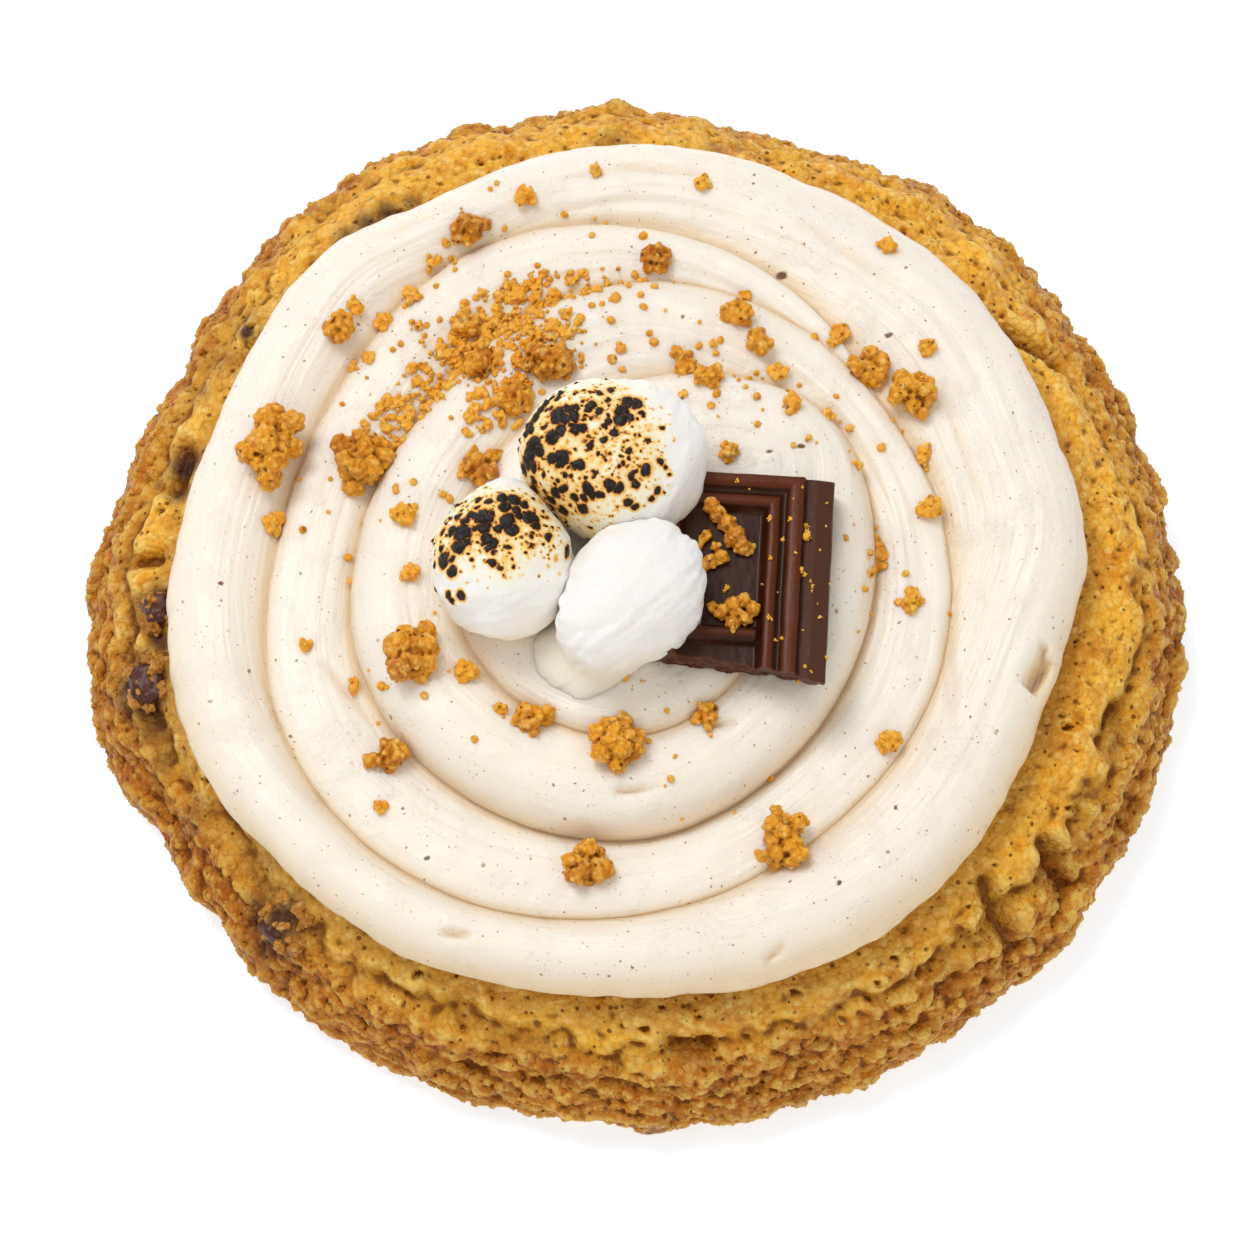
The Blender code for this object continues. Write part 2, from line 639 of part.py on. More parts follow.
def add_crumbs(carrier, rows, random_source):
    """Crumbs rest on the carrier, a little sunk, and become one body with it."""
    heap = make_collection("crumb_heap")
    depsgraph = bpy.context.evaluated_depsgraph_get()
    surface = BVHTree.FromObject(carrier, depsgraph)
    sky = 0.1
    for x, y, width, depth, turn in rows:
        hit = surface.ray_cast(Vector((x * MM, y * MM, sky)), Vector((0.0, 0.0, -1.0)))
        height = CRUMB_FLATNESS * min(width, depth)
        middle = hit[0].z / MM + (0.5 - CRUMB_SINK) * height
        bm = crumb_bmesh((x, y, middle), (width, depth, height), turn, random_source)
        make_object("crumb", bm, heap)
    fuse(carrier, heap)


def build_chunks(collection, cutters, material):
    """Rough blocks of chocolate, set in pockets of the cookie with a hair's gap round them."""
    for name, (x, y, z, run, depth, height) in CHUNKS.items():
        face_out = Matrix.Rotation(math.atan2(y, x) + math.pi / 2.0, 4, "Z")
        place = Matrix.Translation((x, y, z)) @ face_out
        for grow, owner, label in ((0.0, collection, name), (SEAT_GAP, cutters, name + "_pocket")):
            bm = bmesh.new()
            bmesh.ops.create_icosphere(bm, subdivisions=2, radius=1.0)
            for vert in bm.verts:
                boxy = Vector([math.copysign(abs(co) ** 0.6, co) for co in vert.co])
                rough = 1.0 + 0.12 * noise.noise(boxy * 1.6 + Vector((x, y, z)))
                half = Vector((run, depth, height)) * 0.5 * rough
                vert.co = Vector([co * (side + grow) for co, side in zip(boxy, half)])
            bmesh.ops.transform(bm, matrix=place, verts=bm.verts)
            piece = make_object(label, bm, owner, material if grow == 0.0 else None)
            if grow:
                hide_cutter(piece)


def move_to(collection, pieces):
    """Put some cutters in a collection of their own, for one cut."""
    for piece in pieces:
        for old in list(piece.users_collection):
            old.objects.unlink(piece)
        collection.objects.link(piece)


def centre_on_origin(collection):
    """Shift every piece so that the cookie's box is centred over the origin."""
    corners = [Vector(vert.co) for vert in bpy.data.objects["cookie"].data.vertices]
    middle_x = 0.5 * (min(co.x for co in corners) + max(co.x for co in corners))
    middle_y = 0.5 * (min(co.y for co in corners) + max(co.y for co in corners))
    for piece in collection.objects:
        piece.data.transform(Matrix.Translation((-middle_x, -middle_y, 0.0)))


def build():
    remove_scene_objects()
    pieces = make_collection(COLLECTION_NAME)
    cutters = make_collection(CUTTER_COLLECTION_NAME)
    random_source = random.Random(7)

    dough = make_material("baked_dough", (0.42, 0.22, 0.07), 0.85)
    cream = make_material("vanilla_frosting", (0.86, 0.80, 0.70), 0.45)
    sugar = make_material("marshmallow", (0.90, 0.86, 0.79), 0.60)
    dark = make_material("milk_chocolate", (0.075, 0.030, 0.018), 0.40)

    cookie = build_cookie(pieces, dough)
    frosting = build_frosting(pieces, cream)
    marshmallows = build_marshmallows(pieces, cutters, sugar)
    chocolate = build_chocolate(pieces, cutters, dark)
    build_chunks(pieces, cutters, dark)

    by_name = {cutter.name: cutter for cutter in cutters.objects}
    pockets = [cutter for name, cutter in by_name.items() if name.endswith("_pocket")]
    seats = [cutter for name, cutter in by_name.items() if not name.endswith("_pocket")]
    front_seats = [cutter for cutter in seats if cutter.name.startswith(("marshmallow_front", "melted"))]
    cuts = (
        (cookie, pockets),
        (frosting, seats),
        (marshmallows["marshmallow_back"],
         front_seats + [by_name["marshmallow_left_seat"], by_name["chocolate_seat"]]),
        (marshmallows["marshmallow_left"], front_seats),
        (marshmallows["marshmallow_front"], [by_name["chocolate_seat"]]),
    )
    for piece, tools in cuts:
        tray = make_collection("cutters_in_use")
        move_to(tray, tools)
        subtract(piece, tray)
        move_to(cutters, tools)
        bpy.data.collections.remove(tray)
        keep_largest_body(piece)

    add_crumbs(chocolate, CHOCOLATE_CRUMBS, random_source)
    turned = [(*row, random_source.uniform(-25.0, 25.0)) for row in CRUMBS]
    add_crumbs(frosting, turned, random_source)
    centre_on_origin(pieces)


build()
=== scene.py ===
"""Looks of the s'mores cookie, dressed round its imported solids.

Lengths are millimetres until a mesh is made.  +Z is up and the viewer is on the -Y side.
Every rule of shape that the solids follow is repeated here with finer steps.
"""
import math
import random

import bmesh
import bpy
import numpy as np
from mathutils import Matrix, Vector, noise
from mathutils.bvhtree import BVHTree


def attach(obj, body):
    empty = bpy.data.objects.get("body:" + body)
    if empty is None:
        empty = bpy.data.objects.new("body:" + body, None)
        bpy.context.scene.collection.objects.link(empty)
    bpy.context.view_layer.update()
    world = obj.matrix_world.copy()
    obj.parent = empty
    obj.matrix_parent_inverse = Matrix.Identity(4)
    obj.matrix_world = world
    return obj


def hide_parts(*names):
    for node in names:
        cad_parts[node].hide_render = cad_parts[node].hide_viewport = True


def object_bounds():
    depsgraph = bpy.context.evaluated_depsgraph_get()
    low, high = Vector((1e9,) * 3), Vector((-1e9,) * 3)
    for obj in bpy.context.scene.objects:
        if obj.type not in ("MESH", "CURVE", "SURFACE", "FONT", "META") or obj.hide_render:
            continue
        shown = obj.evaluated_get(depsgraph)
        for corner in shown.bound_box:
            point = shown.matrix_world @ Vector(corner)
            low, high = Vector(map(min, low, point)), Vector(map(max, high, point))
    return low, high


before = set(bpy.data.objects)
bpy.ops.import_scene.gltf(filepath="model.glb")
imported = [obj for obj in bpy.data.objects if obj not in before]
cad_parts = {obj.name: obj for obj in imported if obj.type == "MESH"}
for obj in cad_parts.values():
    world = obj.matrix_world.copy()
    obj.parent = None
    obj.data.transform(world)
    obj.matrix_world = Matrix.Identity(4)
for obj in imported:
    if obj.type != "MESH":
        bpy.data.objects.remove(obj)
solid_low, solid_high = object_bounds()

# The view: the cookie lies on a pale table and is seen from 70 degrees up through a long
# lens.  A broad soft light stands behind it on the left, a warm reflector in front of it and
# a white room fill the shade, and the white table glows a little, as a light table does.
MM = 0.001
LENS = 120.0
SENSOR = 36.0
VIEW_ELEVATION = math.radians(70.0)
VIEW_DISTANCE = 389.0
VIEW_TARGET = Vector((-0.72, -5.06, 10.0))
# Lamps: place, size, power and colour.
LAMPS = {
    "window": ((-400.0, 420.0, 1080.0), 520.0, 7.4, (1.0, 0.985, 0.96)),
    "reflector": ((250.0, -700.0, 500.0), 700.0, 1.1, (1.0, 0.80, 0.52)),
}
ROOM_COLOUR = (1.0, 0.98, 0.95, 1.0)
ROOM_STRENGTH = 0.57
TABLE_HALF = 2500.0
TABLE_GLOW = 0.60

scene = bpy.context.scene
scene.view_settings.view_transform = "Standard"
camera = bpy.data.objects.new("camera", bpy.data.cameras.new("camera"))
camera.data.lens = LENS
camera.data.sensor_width = SENSOR
camera.data.clip_start = 0.01
step_back = Vector((0.0, -math.cos(VIEW_ELEVATION), math.sin(VIEW_ELEVATION)))
camera.location = (VIEW_TARGET + VIEW_DISTANCE * step_back) * MM
camera.rotation_euler = (math.radians(90.0) - VIEW_ELEVATION, 0.0, 0.0)
scene.collection.objects.link(camera)
scene.camera = camera

for name, (place, size, power, colour) in LAMPS.items():
    light = bpy.data.lights.new(name, "AREA")
    light.size = size * MM
    light.energy = power
    light.color = colour
    lamp = bpy.data.objects.new(name, light)
    lamp.location = Vector(place) * MM
    lamp.rotation_euler = (-Vector(place)).to_track_quat("-Z", "Y").to_euler()
    scene.collection.objects.link(lamp)
room = bpy.data.worlds.new("room")
room.use_nodes = True
room.node_tree.nodes["Background"].inputs["Color"].default_value = ROOM_COLOUR
room.node_tree.nodes["Background"].inputs["Strength"].default_value = ROOM_STRENGTH
scene.world = room


def store_share(piece, label, values, domain="POINT"):
    """Keep a value for each of a mesh's points or face corners, for the finishes to read."""
    layer = piece.data.attributes.new(label, "FLOAT", domain)
    layer.data.foreach_set("value", np.asarray(values, np.float32))


def link_piece(name, mesh):
    """Put a mesh in the scene as an object at the origin."""
    piece = bpy.data.objects.new(name, mesh)
    scene.collection.objects.link(piece)
    return piece


def piece_of(name, points, faces, finish, **shares):
    """Make a mesh object in metres from points in millimetres and shares for each point."""
    mesh = bpy.data.meshes.new(name)
    mesh.from_pydata((np.asarray(points, float) * MM).tolist(), [], faces)
    mesh.shade_smooth()
    mesh.materials.append(finish.material)
    piece = link_piece(name, mesh)
    for label, values in shares.items():
        store_share(piece, label, values)
    return piece


def add_node(tree, kind, sockets=None, **settings):
    """Add a node; sockets maps an input's name or number to a value or to an output."""
    made = tree.nodes.new(kind)
    for label, value in settings.items():
        setattr(made, label, value)
    for label, value in (sockets or {}).items():
        if isinstance(value, bpy.types.NodeSocket):
            tree.links.new(value, made.inputs[label])
        else:
            made.inputs[label].default_value = value
    return made


class Finish:
    """A material whose colour is laid on in coats, each over the ones before."""

    def __init__(self, name, colour, **sockets):
        """Sockets gives the shader's plain values by name, with _ for a space."""
        self.material = bpy.data.materials.new(name)
        self.material.use_nodes = True
        self.shader = self.material.node_tree.nodes["Principled BSDF"]
        for label, value in sockets.items():
            self.shader.inputs[label.replace("_", " ")].default_value = value
        self.place = self.node("ShaderNodeTexCoord").outputs["Object"]
        self.colour = (*colour, 1.0)

    def node(self, kind, sockets=None, **settings):
        """Add a node to this material, as add_node does."""
        return add_node(self.material.node_tree, kind, sockets, **settings)

    def maths(self, operation, first, second, third=0.0):
        """Work out a sum from numbers or other nodes' outputs."""
        values = {0: first, 1: second, 2: third}
        return self.node("ShaderNodeMath", values, operation=operation).outputs[0]

    def share(self, label):
        """The share of that name that the piece's mesh holds."""
        return self.node("ShaderNodeAttribute", attribute_name=label).outputs["Fac"]

    def spread(self, value, start, end, first=0.0, last=1.0, kind="LINEAR"):
        """Run from first to last as a value runs from start to end."""
        values = {0: value, 1: start, 2: end, 3: first, 4: last}
        return self.node("ShaderNodeMapRange", values, interpolation_type=kind).outputs[0]

    def soft(self, value, low, high):
        """0 where value is low, 1 where it is high, with a soft run between."""
        return self.spread(value, low, high, kind="SMOOTHSTEP")

    def clouds(self, size, detail=2.0, roughness=0.5, place=None, output=0):
        """Cloudy pattern whose patches measure size millimetres."""
        values = {"Vector": self.place if place is None else place, "Scale": 1.0 / (size * MM),
                  "Detail": detail, "Roughness": roughness}
        return self.node("ShaderNodeTexNoise", values).outputs[output]

    def dots(self, size, place=None):
        """Cells size millimetres wide: distance to the nearest middle, and its random values."""
        values = {"Vector": self.place if place is None else place, "Scale": 1.0 / (size * MM)}
        cell = self.node("ShaderNodeTexVoronoi", values)
        ranks = self.node("ShaderNodeSeparateColor", {0: cell.outputs["Color"]})
        return cell.outputs["Distance"], ranks.outputs

    def coat(self, colour, share, amount=None, blend="MIX"):
        """Lay a colour over the coats so far by a share, or by an amount of that share."""
        if amount is not None:
            share = self.maths("MULTIPLY", share, amount)
        values = {0: share, 6: self.colour, 7: (*colour, 1.0)}
        self.colour = self.node("ShaderNodeMix", values, data_type="RGBA", blend_type=blend).outputs[2]

    def seal(self, bump=None, depth=0.1, strength=1.0, roughness=None):
        """Join the coats, the bump (depth in millimetres) and the roughness to the shader."""
        links = self.material.node_tree.links
        links.new(self.colour, self.shader.inputs["Base Color"])
        if bump is not None:
            values = {"Height": bump, "Distance": depth * MM, "Strength": strength}
            links.new(self.node("ShaderNodeBump", values).outputs[0], self.shader.inputs["Normal"])
        if roughness is not None:
            links.new(roughness, self.shader.inputs["Roughness"])


table_top = Finish("table_top", (0.57, 0.67, 0.79), Roughness=0.9, Emission_Color=(1.0, 1.0, 1.0, 1.0),
                   Emission_Strength=TABLE_GLOW)
table_top.coat((0.56, 0.655, 0.775), table_top.clouds(40.0))
table_top.seal()
TABLE_CORNERS = ((-1.0, -1.0), (1.0, -1.0), (1.0, 1.0), (-1.0, 1.0))
floor = piece_of("floor", [(TABLE_HALF * x, TABLE_HALF * y, 0.0) for x, y in TABLE_CORNERS],
                 [(0, 1, 2, 3)], table_top)

# The cookie: a thick round of soft dough, scooped, pressed and baked until its rim is
# golden and cracked.  It is lofted from a section that swells down to a lower tier, with
# lumps, layers, a ragged trench round the top's edge and breaks worked into the surface.
CENTRING = np.array((0.28, 0.09, 0.0))
# Radii are measured at even steps round the cookie, starting at +X.
COOKIE_RADII = (
    51.6, 50.6, 50.1, 51.1, 50.4, 49.0, 50.9, 50.9, 51.6, 51.3, 49.7, 50.3,
    51.8, 52.1, 50.0, 50.4, 50.8, 50.7, 50.9, 50.6, 50.9, 51.5, 51.6, 51.7,
)
COOKIE_TOP = 16.0
FLAT_TOP_INSET = 11.0
# The rim's section from the flat top down to the base: inset from the radius, height.
RIM_SECTION = (
    (11.0, 16.0), (8.3, 15.5), (6.2, 14.6), (4.4, 13.3), (3.1, 11.6), (2.3, 9.8),
    (1.7, 8.2), (0.6, 6.4), (0.1, 4.4), (0.2, 2.4), (0.8, 0.9), (1.9, 0.0),
)
TRENCH_DEPTHS = (1.0, 0.5, 0.4, 0.4, 0.5, 0.9, 1.7, 1.3, 1.5, 1.1, 1.4, 1.8)
# Cracks in the rim: x, y, heading in degrees, length, width, depth.
BREAKS = (
    (37.6, 21.5, -22.0, 6.0, 0.8, 1.7), (-35.8, 21.5, 40.0, 2.2, 0.9, 1.6),
    (-43.0, 9.0, 80.0, 3.6, 1.2, 2.0), (-45.6, 0.0, 0.0, 1.6, 0.7, 1.6),
    (38.8, -29.5, -50.0, 5.0, 1.0, 1.9), (32.6, -33.4, -60.0, 4.5, 1.0, 1.7),
    (43.5, -16.0, 60.0, 4.0, 0.9, 1.6), (4.7, -46.6, 5.0, 3.0, 0.8, 1.2),
)
# Where melted chocolate or steam darkened the dough: x, y, spread and how strongly.
STAINS = (
    (-27.3, 32.6, 1.7, 0.5), (-25.4, 33.8, 1.9, 0.6), (-23.5, 34.8, 1.9, 0.6), (-21.3, 36.0, 1.6, 0.45),
    (-36.6, 23.0, 0.8, 1.0), (-36.8, 24.8, 2.2, 0.35), (-38.7, 20.5, 2.4, 0.35), (-40.6, 17.4, 2.4, 0.3),
    (-1.9, 42.8, 2.2, 0.35), (7.8, 41.9, 1.6, 0.35), (-41.9, 9.7, 1.6, 0.8), (-42.3, 6.5, 1.2, 0.6),
    (-43.8, -5.0, 2.3, 0.9), (-43.6, -8.2, 1.5, 0.7), (-32.0, -34.4, 2.8, 0.7), (-45.0, -12.0, 2.9, 0.85),
    (-44.2, -15.6, 2.2, 0.5), (-43.2, -18.6, 1.8, 0.4), (-40.8, -24.4, 2.0, 0.3), (-34.0, -32.2, 1.8, 0.5),
)
FROSTING_RADII = (
    41.1, 40.3, 40.2, 40.2, 39.7, 40.0, 40.5, 40.1, 39.8, 41.4, 41.0, 40.9,
    42.3, 44.0, 44.9, 44.3, 44.2, 43.4, 42.8, 43.0, 42.9, 41.9, 40.4, 40.1,
)
COOKIE_COLUMNS = 960
VISIBLE_ROWS = 82
COVERED_ROWS = 6
BASE_ROWS = 7
WALK_STEPS = 1701
FLAT_STEPS = 600
USUAL_RADIUS = 50.0
COVERED_RADIUS = 36.5
UNBROKEN_BELOW = 8.0
# Sizes of the crust's grains, knobs, pits and holes, and of the grains and pores in its finish.
GRAIN_SIZE = 1.35
KNOB_SIZE = 2.5
PIT_SPACING = 2.3
HOLE_SPACING = 5.0
SUGAR_SIZE = 0.6
PORE_SPACING = 0.95
# Colours that every dough shares, and how the browner side of the cookie dims its own, partly as painted
# shade.
# Damp dough beside the frosting, darkened further with painted shade from the frosting's edge.
DAMP_AND_SHADE_COLOUR = (0.33, 0.175, 0.055)
# Painted glints on the sugar crystals.
PAINTED_GLINT_COLOUR = (1.0, 0.78, 0.34)
STAIN_COLOUR = (0.085, 0.028, 0.014)
SIDE_BROWNING_AND_SHADE = (0.75, 0.57, 0.24)


def smooth_curve(before, start, end, after, share):
    """Values on a curve through four values, at a share of the way between the middle two."""
    return 0.5 * (2.0 * start + (end - before) * share
                  + (2.0 * before - 5.0 * start + 4.0 * end - after) * share ** 2
                  + (3.0 * start - before - 3.0 * end + after) * share ** 3)


def around(values, degrees):
    """Values at angles, from values spaced evenly round a full turn."""
    values = np.asarray(values, float)
    position = (np.asarray(degrees, float) % 360.0) * len(values) / 360.0
    index = position.astype(int)
    picks = [values[(index + step) % len(values)] for step in (-1, 0, 1, 2)]
    return smooth_curve(*picks, position - index)


def along(values, position):
    """Values at positions in an open, evenly spaced run of values."""
    values = np.asarray(values, float)
    last = len(values) - 1
    position = np.clip(position, 0.0, last)
    index = np.minimum(position.astype(int), last - 1)
    picks = [values[np.clip(index + step, 0, last)] for step in (-1, 0, 1, 2)]
    return smooth_curve(*picks, position - index)


def ease(low, high, value):
    """0 where a value is low, 1 where it is high, with a soft run between."""
    share = np.clip((value - low) / (high - low), 0.0, 1.0)
    return share * share * (3.0 - 2.0 * share)


def lumps(points, size):
    """Smooth random swell between about -1 and 1, with lumps of a size in millimetres."""
    scaled = (np.asarray(points, float) / np.asarray(size, float)).tolist()
    return np.fromiter((noise.noise(place) for place in scaled), float, len(scaled))


def lumpy(points, *swells):
    """Sum of swells, each given by its height and the size of its lumps."""
    return sum(height * lumps(points, size) for height, size in swells)


def shaking(points, size, shifts):
    """Random push for each point, one axis for each shift."""
    return np.stack([lumps(points + shift, size) for shift in shifts], axis=1)


def cells(points, size, seed=0.0):
    """Distance to the middle of the nearest random cell, in cells."""
    scaled = (np.asarray(points, float) / size + seed).tolist()
    return np.fromiter((noise.voronoi(place)[0][0] for place in scaled), float, len(scaled))


def dome(away, size):
    """Height of a round dome, 1 in its middle and 0 from size away."""
    return np.sqrt(np.clip(1.0 - (away / size) ** 2, 0.0, 1.0))


def pockets(points, spacing, size, seed):
    """1 in the middle of small round holes, whose sizes are in cells, and 0 between them."""
    return ease(0.0, 0.14, size - cells(points, spacing, seed=seed))


def on_turn(reach, turn, height):
    """Points at a reach from the middle, at an angle and a height."""
    return np.stack((reach * np.cos(turn), reach * np.sin(turn), height), axis=1)


def mark_out(points, x, y, heading):
    """Distances along and across a line that runs through a place at a heading in degrees."""
    turn = math.radians(heading)
    away_x, away_y = points[:, 0] - x, points[:, 1] - y
    return (away_x * math.cos(turn) + away_y * math.sin(turn),
            away_y * math.cos(turn) - away_x * math.sin(turn))


def capped_faces(columns, rows, top, bottom):
    """Faces round a lofted shape whose columns run from a top point down to a bottom point."""
    made = []
    for column in range(columns):
        here, after = column * rows, ((column + 1) % columns) * rows
        made.append((top, here, after))
        made.extend((here + row, here + row + 1, after + row + 1, after + row) for row in range(rows - 1))
        made.append((bottom, after + rows - 1, here + rows - 1))
    return made


SECTION_SHARES = (0.0, 0.5, 0.85) + (1.0,) * len(RIM_SECTION) + (0.8, 0.4, 0.0)
SECTION_OFFSETS = ((0.0, -0.5 * FLAT_TOP_INSET, -0.85 * FLAT_TOP_INSET)
                   + tuple(-inset for inset, height in RIM_SECTION) + (0.0, 0.0, 0.0))
SECTION_HEIGHTS = (COOKIE_TOP,) * 3 + tuple(height for inset, height in RIM_SECTION) + (0.0,) * 3


def section_at(radius, position):
    """Reach and height of the cookie's section at positions counted in its points."""
    reach = radius * along(SECTION_SHARES, position) + along(SECTION_OFFSETS, position)
    return reach, along(SECTION_HEIGHTS, position)


def break_depth(points):
    """How deep the breaks in the rim are at points."""
    deepest = np.zeros(len(points))
    for x, y, heading, length, width, depth in BREAKS:
        run, across = mark_out(points, x, y, heading)
        past_end = np.maximum(0.0, np.abs(run) - length / 2.0)
        fade = np.exp(-((across / width) ** 2) - (past_end / width) ** 2)
        deepest = np.maximum(deepest, depth * fade)
    return deepest


# Rows are spread evenly along the section, finely where it shows.
section_steps = np.linspace(0.0, len(SECTION_SHARES) - 1.0, WALK_STEPS)
walk_reach, walk_height = section_at(USUAL_RADIUS, section_steps)
walked = np.concatenate(([0.0], np.cumsum(np.hypot(np.diff(walk_reach), np.diff(walk_height)))))
first_seen = np.interp(COVERED_RADIUS, walk_reach[:FLAT_STEPS], walked[:FLAT_STEPS])
last_seen = walked[np.argmax(section_steps >= 2.0 + len(RIM_SECTION))]
row_walks = np.concatenate((
    np.linspace(0.0, first_seen, COVERED_ROWS + 1)[1:-1],
    np.linspace(first_seen, last_seen, VISIBLE_ROWS),
    np.linspace(last_seen, walked[-1], BASE_ROWS + 1)[1:-1],
))
row_positions = np.interp(row_walks, walked, section_steps)
degrees = np.repeat(np.arange(COOKIE_COLUMNS) * 360.0 / COOKIE_COLUMNS, len(row_positions))
position = np.tile(row_positions, COOKIE_COLUMNS)
turn = np.radians(degrees)
cookie_radius = around(COOKIE_RADII, degrees)
reach, height = section_at(cookie_radius, position)
height = np.clip(height, 0.0, COOKIE_TOP)
ahead, behind = section_at(cookie_radius, position + 0.1), section_at(cookie_radius, position - 0.1)
out_run, down_run = ahead[0] - behind[0], ahead[1] - behind[1]
slant = np.maximum(np.hypot(out_run, down_run), 1e-6)
plain = on_turn(reach, turn, height)

# The dough's larger forms: swells, layers in its side, the trench and the breaks.
inset = cookie_radius - reach
rim = ease(9.5, 6.5, inset) * ease(0.2, 1.4, height)
side = ease(13.0, 10.0, height)
swell = lumpy(plain, (0.95, 5.2), (0.4, 2.3))
layers = 0.5 * lumps(plain, (6.0, 6.0, 1.5))
flat_plan = plain * (1.0, 1.0, 0.0)
ragged = 4.0 + 1.6 * lumps(flat_plan, 5.0) + 0.9 * lumps(flat_plan, 1.9)
trench = around(TRENCH_DEPTHS, degrees) * np.exp(-(((inset - ragged) / 0.9) ** 2))
breaks = np.where(plain[:, 2] > UNBROKEN_BELOW, break_depth(plain), 0.0)
relief = rim * (swell + side * layers - 0.6 * (1.0 - side) * trench) - breaks

# Its smaller forms: crumbs, rounded grains and knobs, and the pits and holes of its bubbles.
crust = ease(13.5, 10.5, inset) * ease(0.0, 0.8, height)
torn = plain + 0.5 * shaking(plain, 1.3, (9.0, 25.0, 43.0))
crumbly = (0.8 + 0.2 * side) * (0.30 * lumps(plain, 1.5) + 0.22 * lumps(plain + 17.0, 0.8))
grains = (0.14 + 0.38 * side) * dome(cells(torn, GRAIN_SIZE), 0.75) - 0.42
from_knob = cells(torn * (1.0, 1.0, 1.3), KNOB_SIZE, seed=31.0)
knobby = 0.15 + 0.75 * side
knobs = knobby * (0.55 * dome(from_knob, 0.85) - 0.33)
pits = 0.9 * pockets(torn, PIT_SPACING, 0.17 + 0.13 * lumps(plain, 3.0), seed=5.0)
holes = 1.4 * pockets(torn, HOLE_SPACING, 0.04 + 0.26 * lumps(plain + 30.0, 7.0), seed=9.0)
craggy = ease(0.1, 0.5, lumps(plain + 60.0, 6.0)) * side
shelves = 0.4 * craggy * lumps(torn + 90.0, (3.2, 3.2, 1.0))
relief += crust * (crumbly + grains + knobs - pits - holes + shelves)
# How deep each point lies in the trench, breaks, pits, holes and the gaps between knobs, layers and shelves;
# the finish paints shade there.
hollow = np.clip(((1.0 - side) * rim * trench * 0.8 + breaks + 1.1 * pits + 1.2 * holes
                  + 0.6 * crust * knobby * ease(0.50, 0.80, from_knob)
                  + side * np.clip(-layers - 0.2, 0.0, 1.0) * 1.6
                  + np.clip(-shelves, 0.0, 1.0) * 1.4) / 1.3, 0.0, 1.0)
reach = np.maximum(reach - relief * down_run / slant, 0.0)
height = np.maximum(height + relief * out_run / slant, 0.0)
cookie_points = on_turn(reach, turn, height)

# How damp the dough is beside the frosting, with painted shade under the frosting's edge, how stained, how
# grainy its side, and how brown its side is, darkened with painted shade most on the left.
gap_to_frosting = plain[:, 0] * np.cos(turn) + plain[:, 1] * np.sin(turn) - around(FROSTING_RADII, degrees)
damp_and_shade = ease(3.2, 0.2, gap_to_frosting + 0.9 * lumps(flat_plan, 3.5))
stain = np.zeros(len(cookie_points))
stain_edge = 0.25 * lumps(plain, 1.5)
for x, y, spread, share in STAINS:
    away = np.hypot(cookie_points[:, 0] + CENTRING[0] - x, cookie_points[:, 1] + CENTRING[1] - y) / spread
    stain = np.maximum(stain, share * np.exp(-((away + stain_edge) ** 2)))
# The side is browner, and darkened further with painted shade, most on the left.
browned_and_shaded_side = side * (0.45 + 0.35 * ease(0.1, -0.8, np.cos(turn)))
grainy = (0.12 + 0.88 * side) * ease(12.5, 11.0, inset) * ease(0.7, 1.4, height)
cookie_shares = {"hollow": hollow, "damp_and_shade": damp_and_shade, "stain": stain, "wall": side,
                 "browned_and_shaded_side": browned_and_shaded_side, "granule_share": grainy}

top_middle, base_middle = len(cookie_points), len(cookie_points) + 1
cookie_points = np.concatenate((cookie_points, [(0.0, 0.0, COOKIE_TOP), (0.0, 0.0, 0.0)])) + CENTRING
cookie_faces = capped_faces(COOKIE_COLUMNS, len(row_positions), top_middle, base_middle)


def read_rows(values_of, label, width, kind=np.float32):
    """Values of a mesh's points or edges, in a row for each."""
    values = np.empty(width * len(values_of), kind)
    values_of.foreach_get(label, values)
    return values.reshape(-1, width)


def sunk_share(piece, rounds, depth):
    """How far a skin's points lie below their smoothed surroundings: -1 proud, 1 sunk by depth."""
    points = read_rows(piece.data.vertices, "co", 3)
    facing = read_rows(piece.data.vertices, "normal", 3)
    pairs = read_rows(piece.data.edges, "vertices", 2, np.int32)
    ends, others = pairs.T.ravel(), pairs[:, ::-1].T.ravel()
    neighbours = np.maximum(np.bincount(ends, minlength=len(points)), 1)
    smooth = points.astype(float)
    for _ in range(rounds):
        middles = [np.bincount(ends, smooth[others, axis], len(points)) / neighbours for axis in range(3)]
        smooth = 0.4 * smooth + 0.6 * np.stack(middles, axis=1)
    return np.clip(((smooth - points) * facing).sum(axis=1) / (depth * MM), -1.0, 1.0)


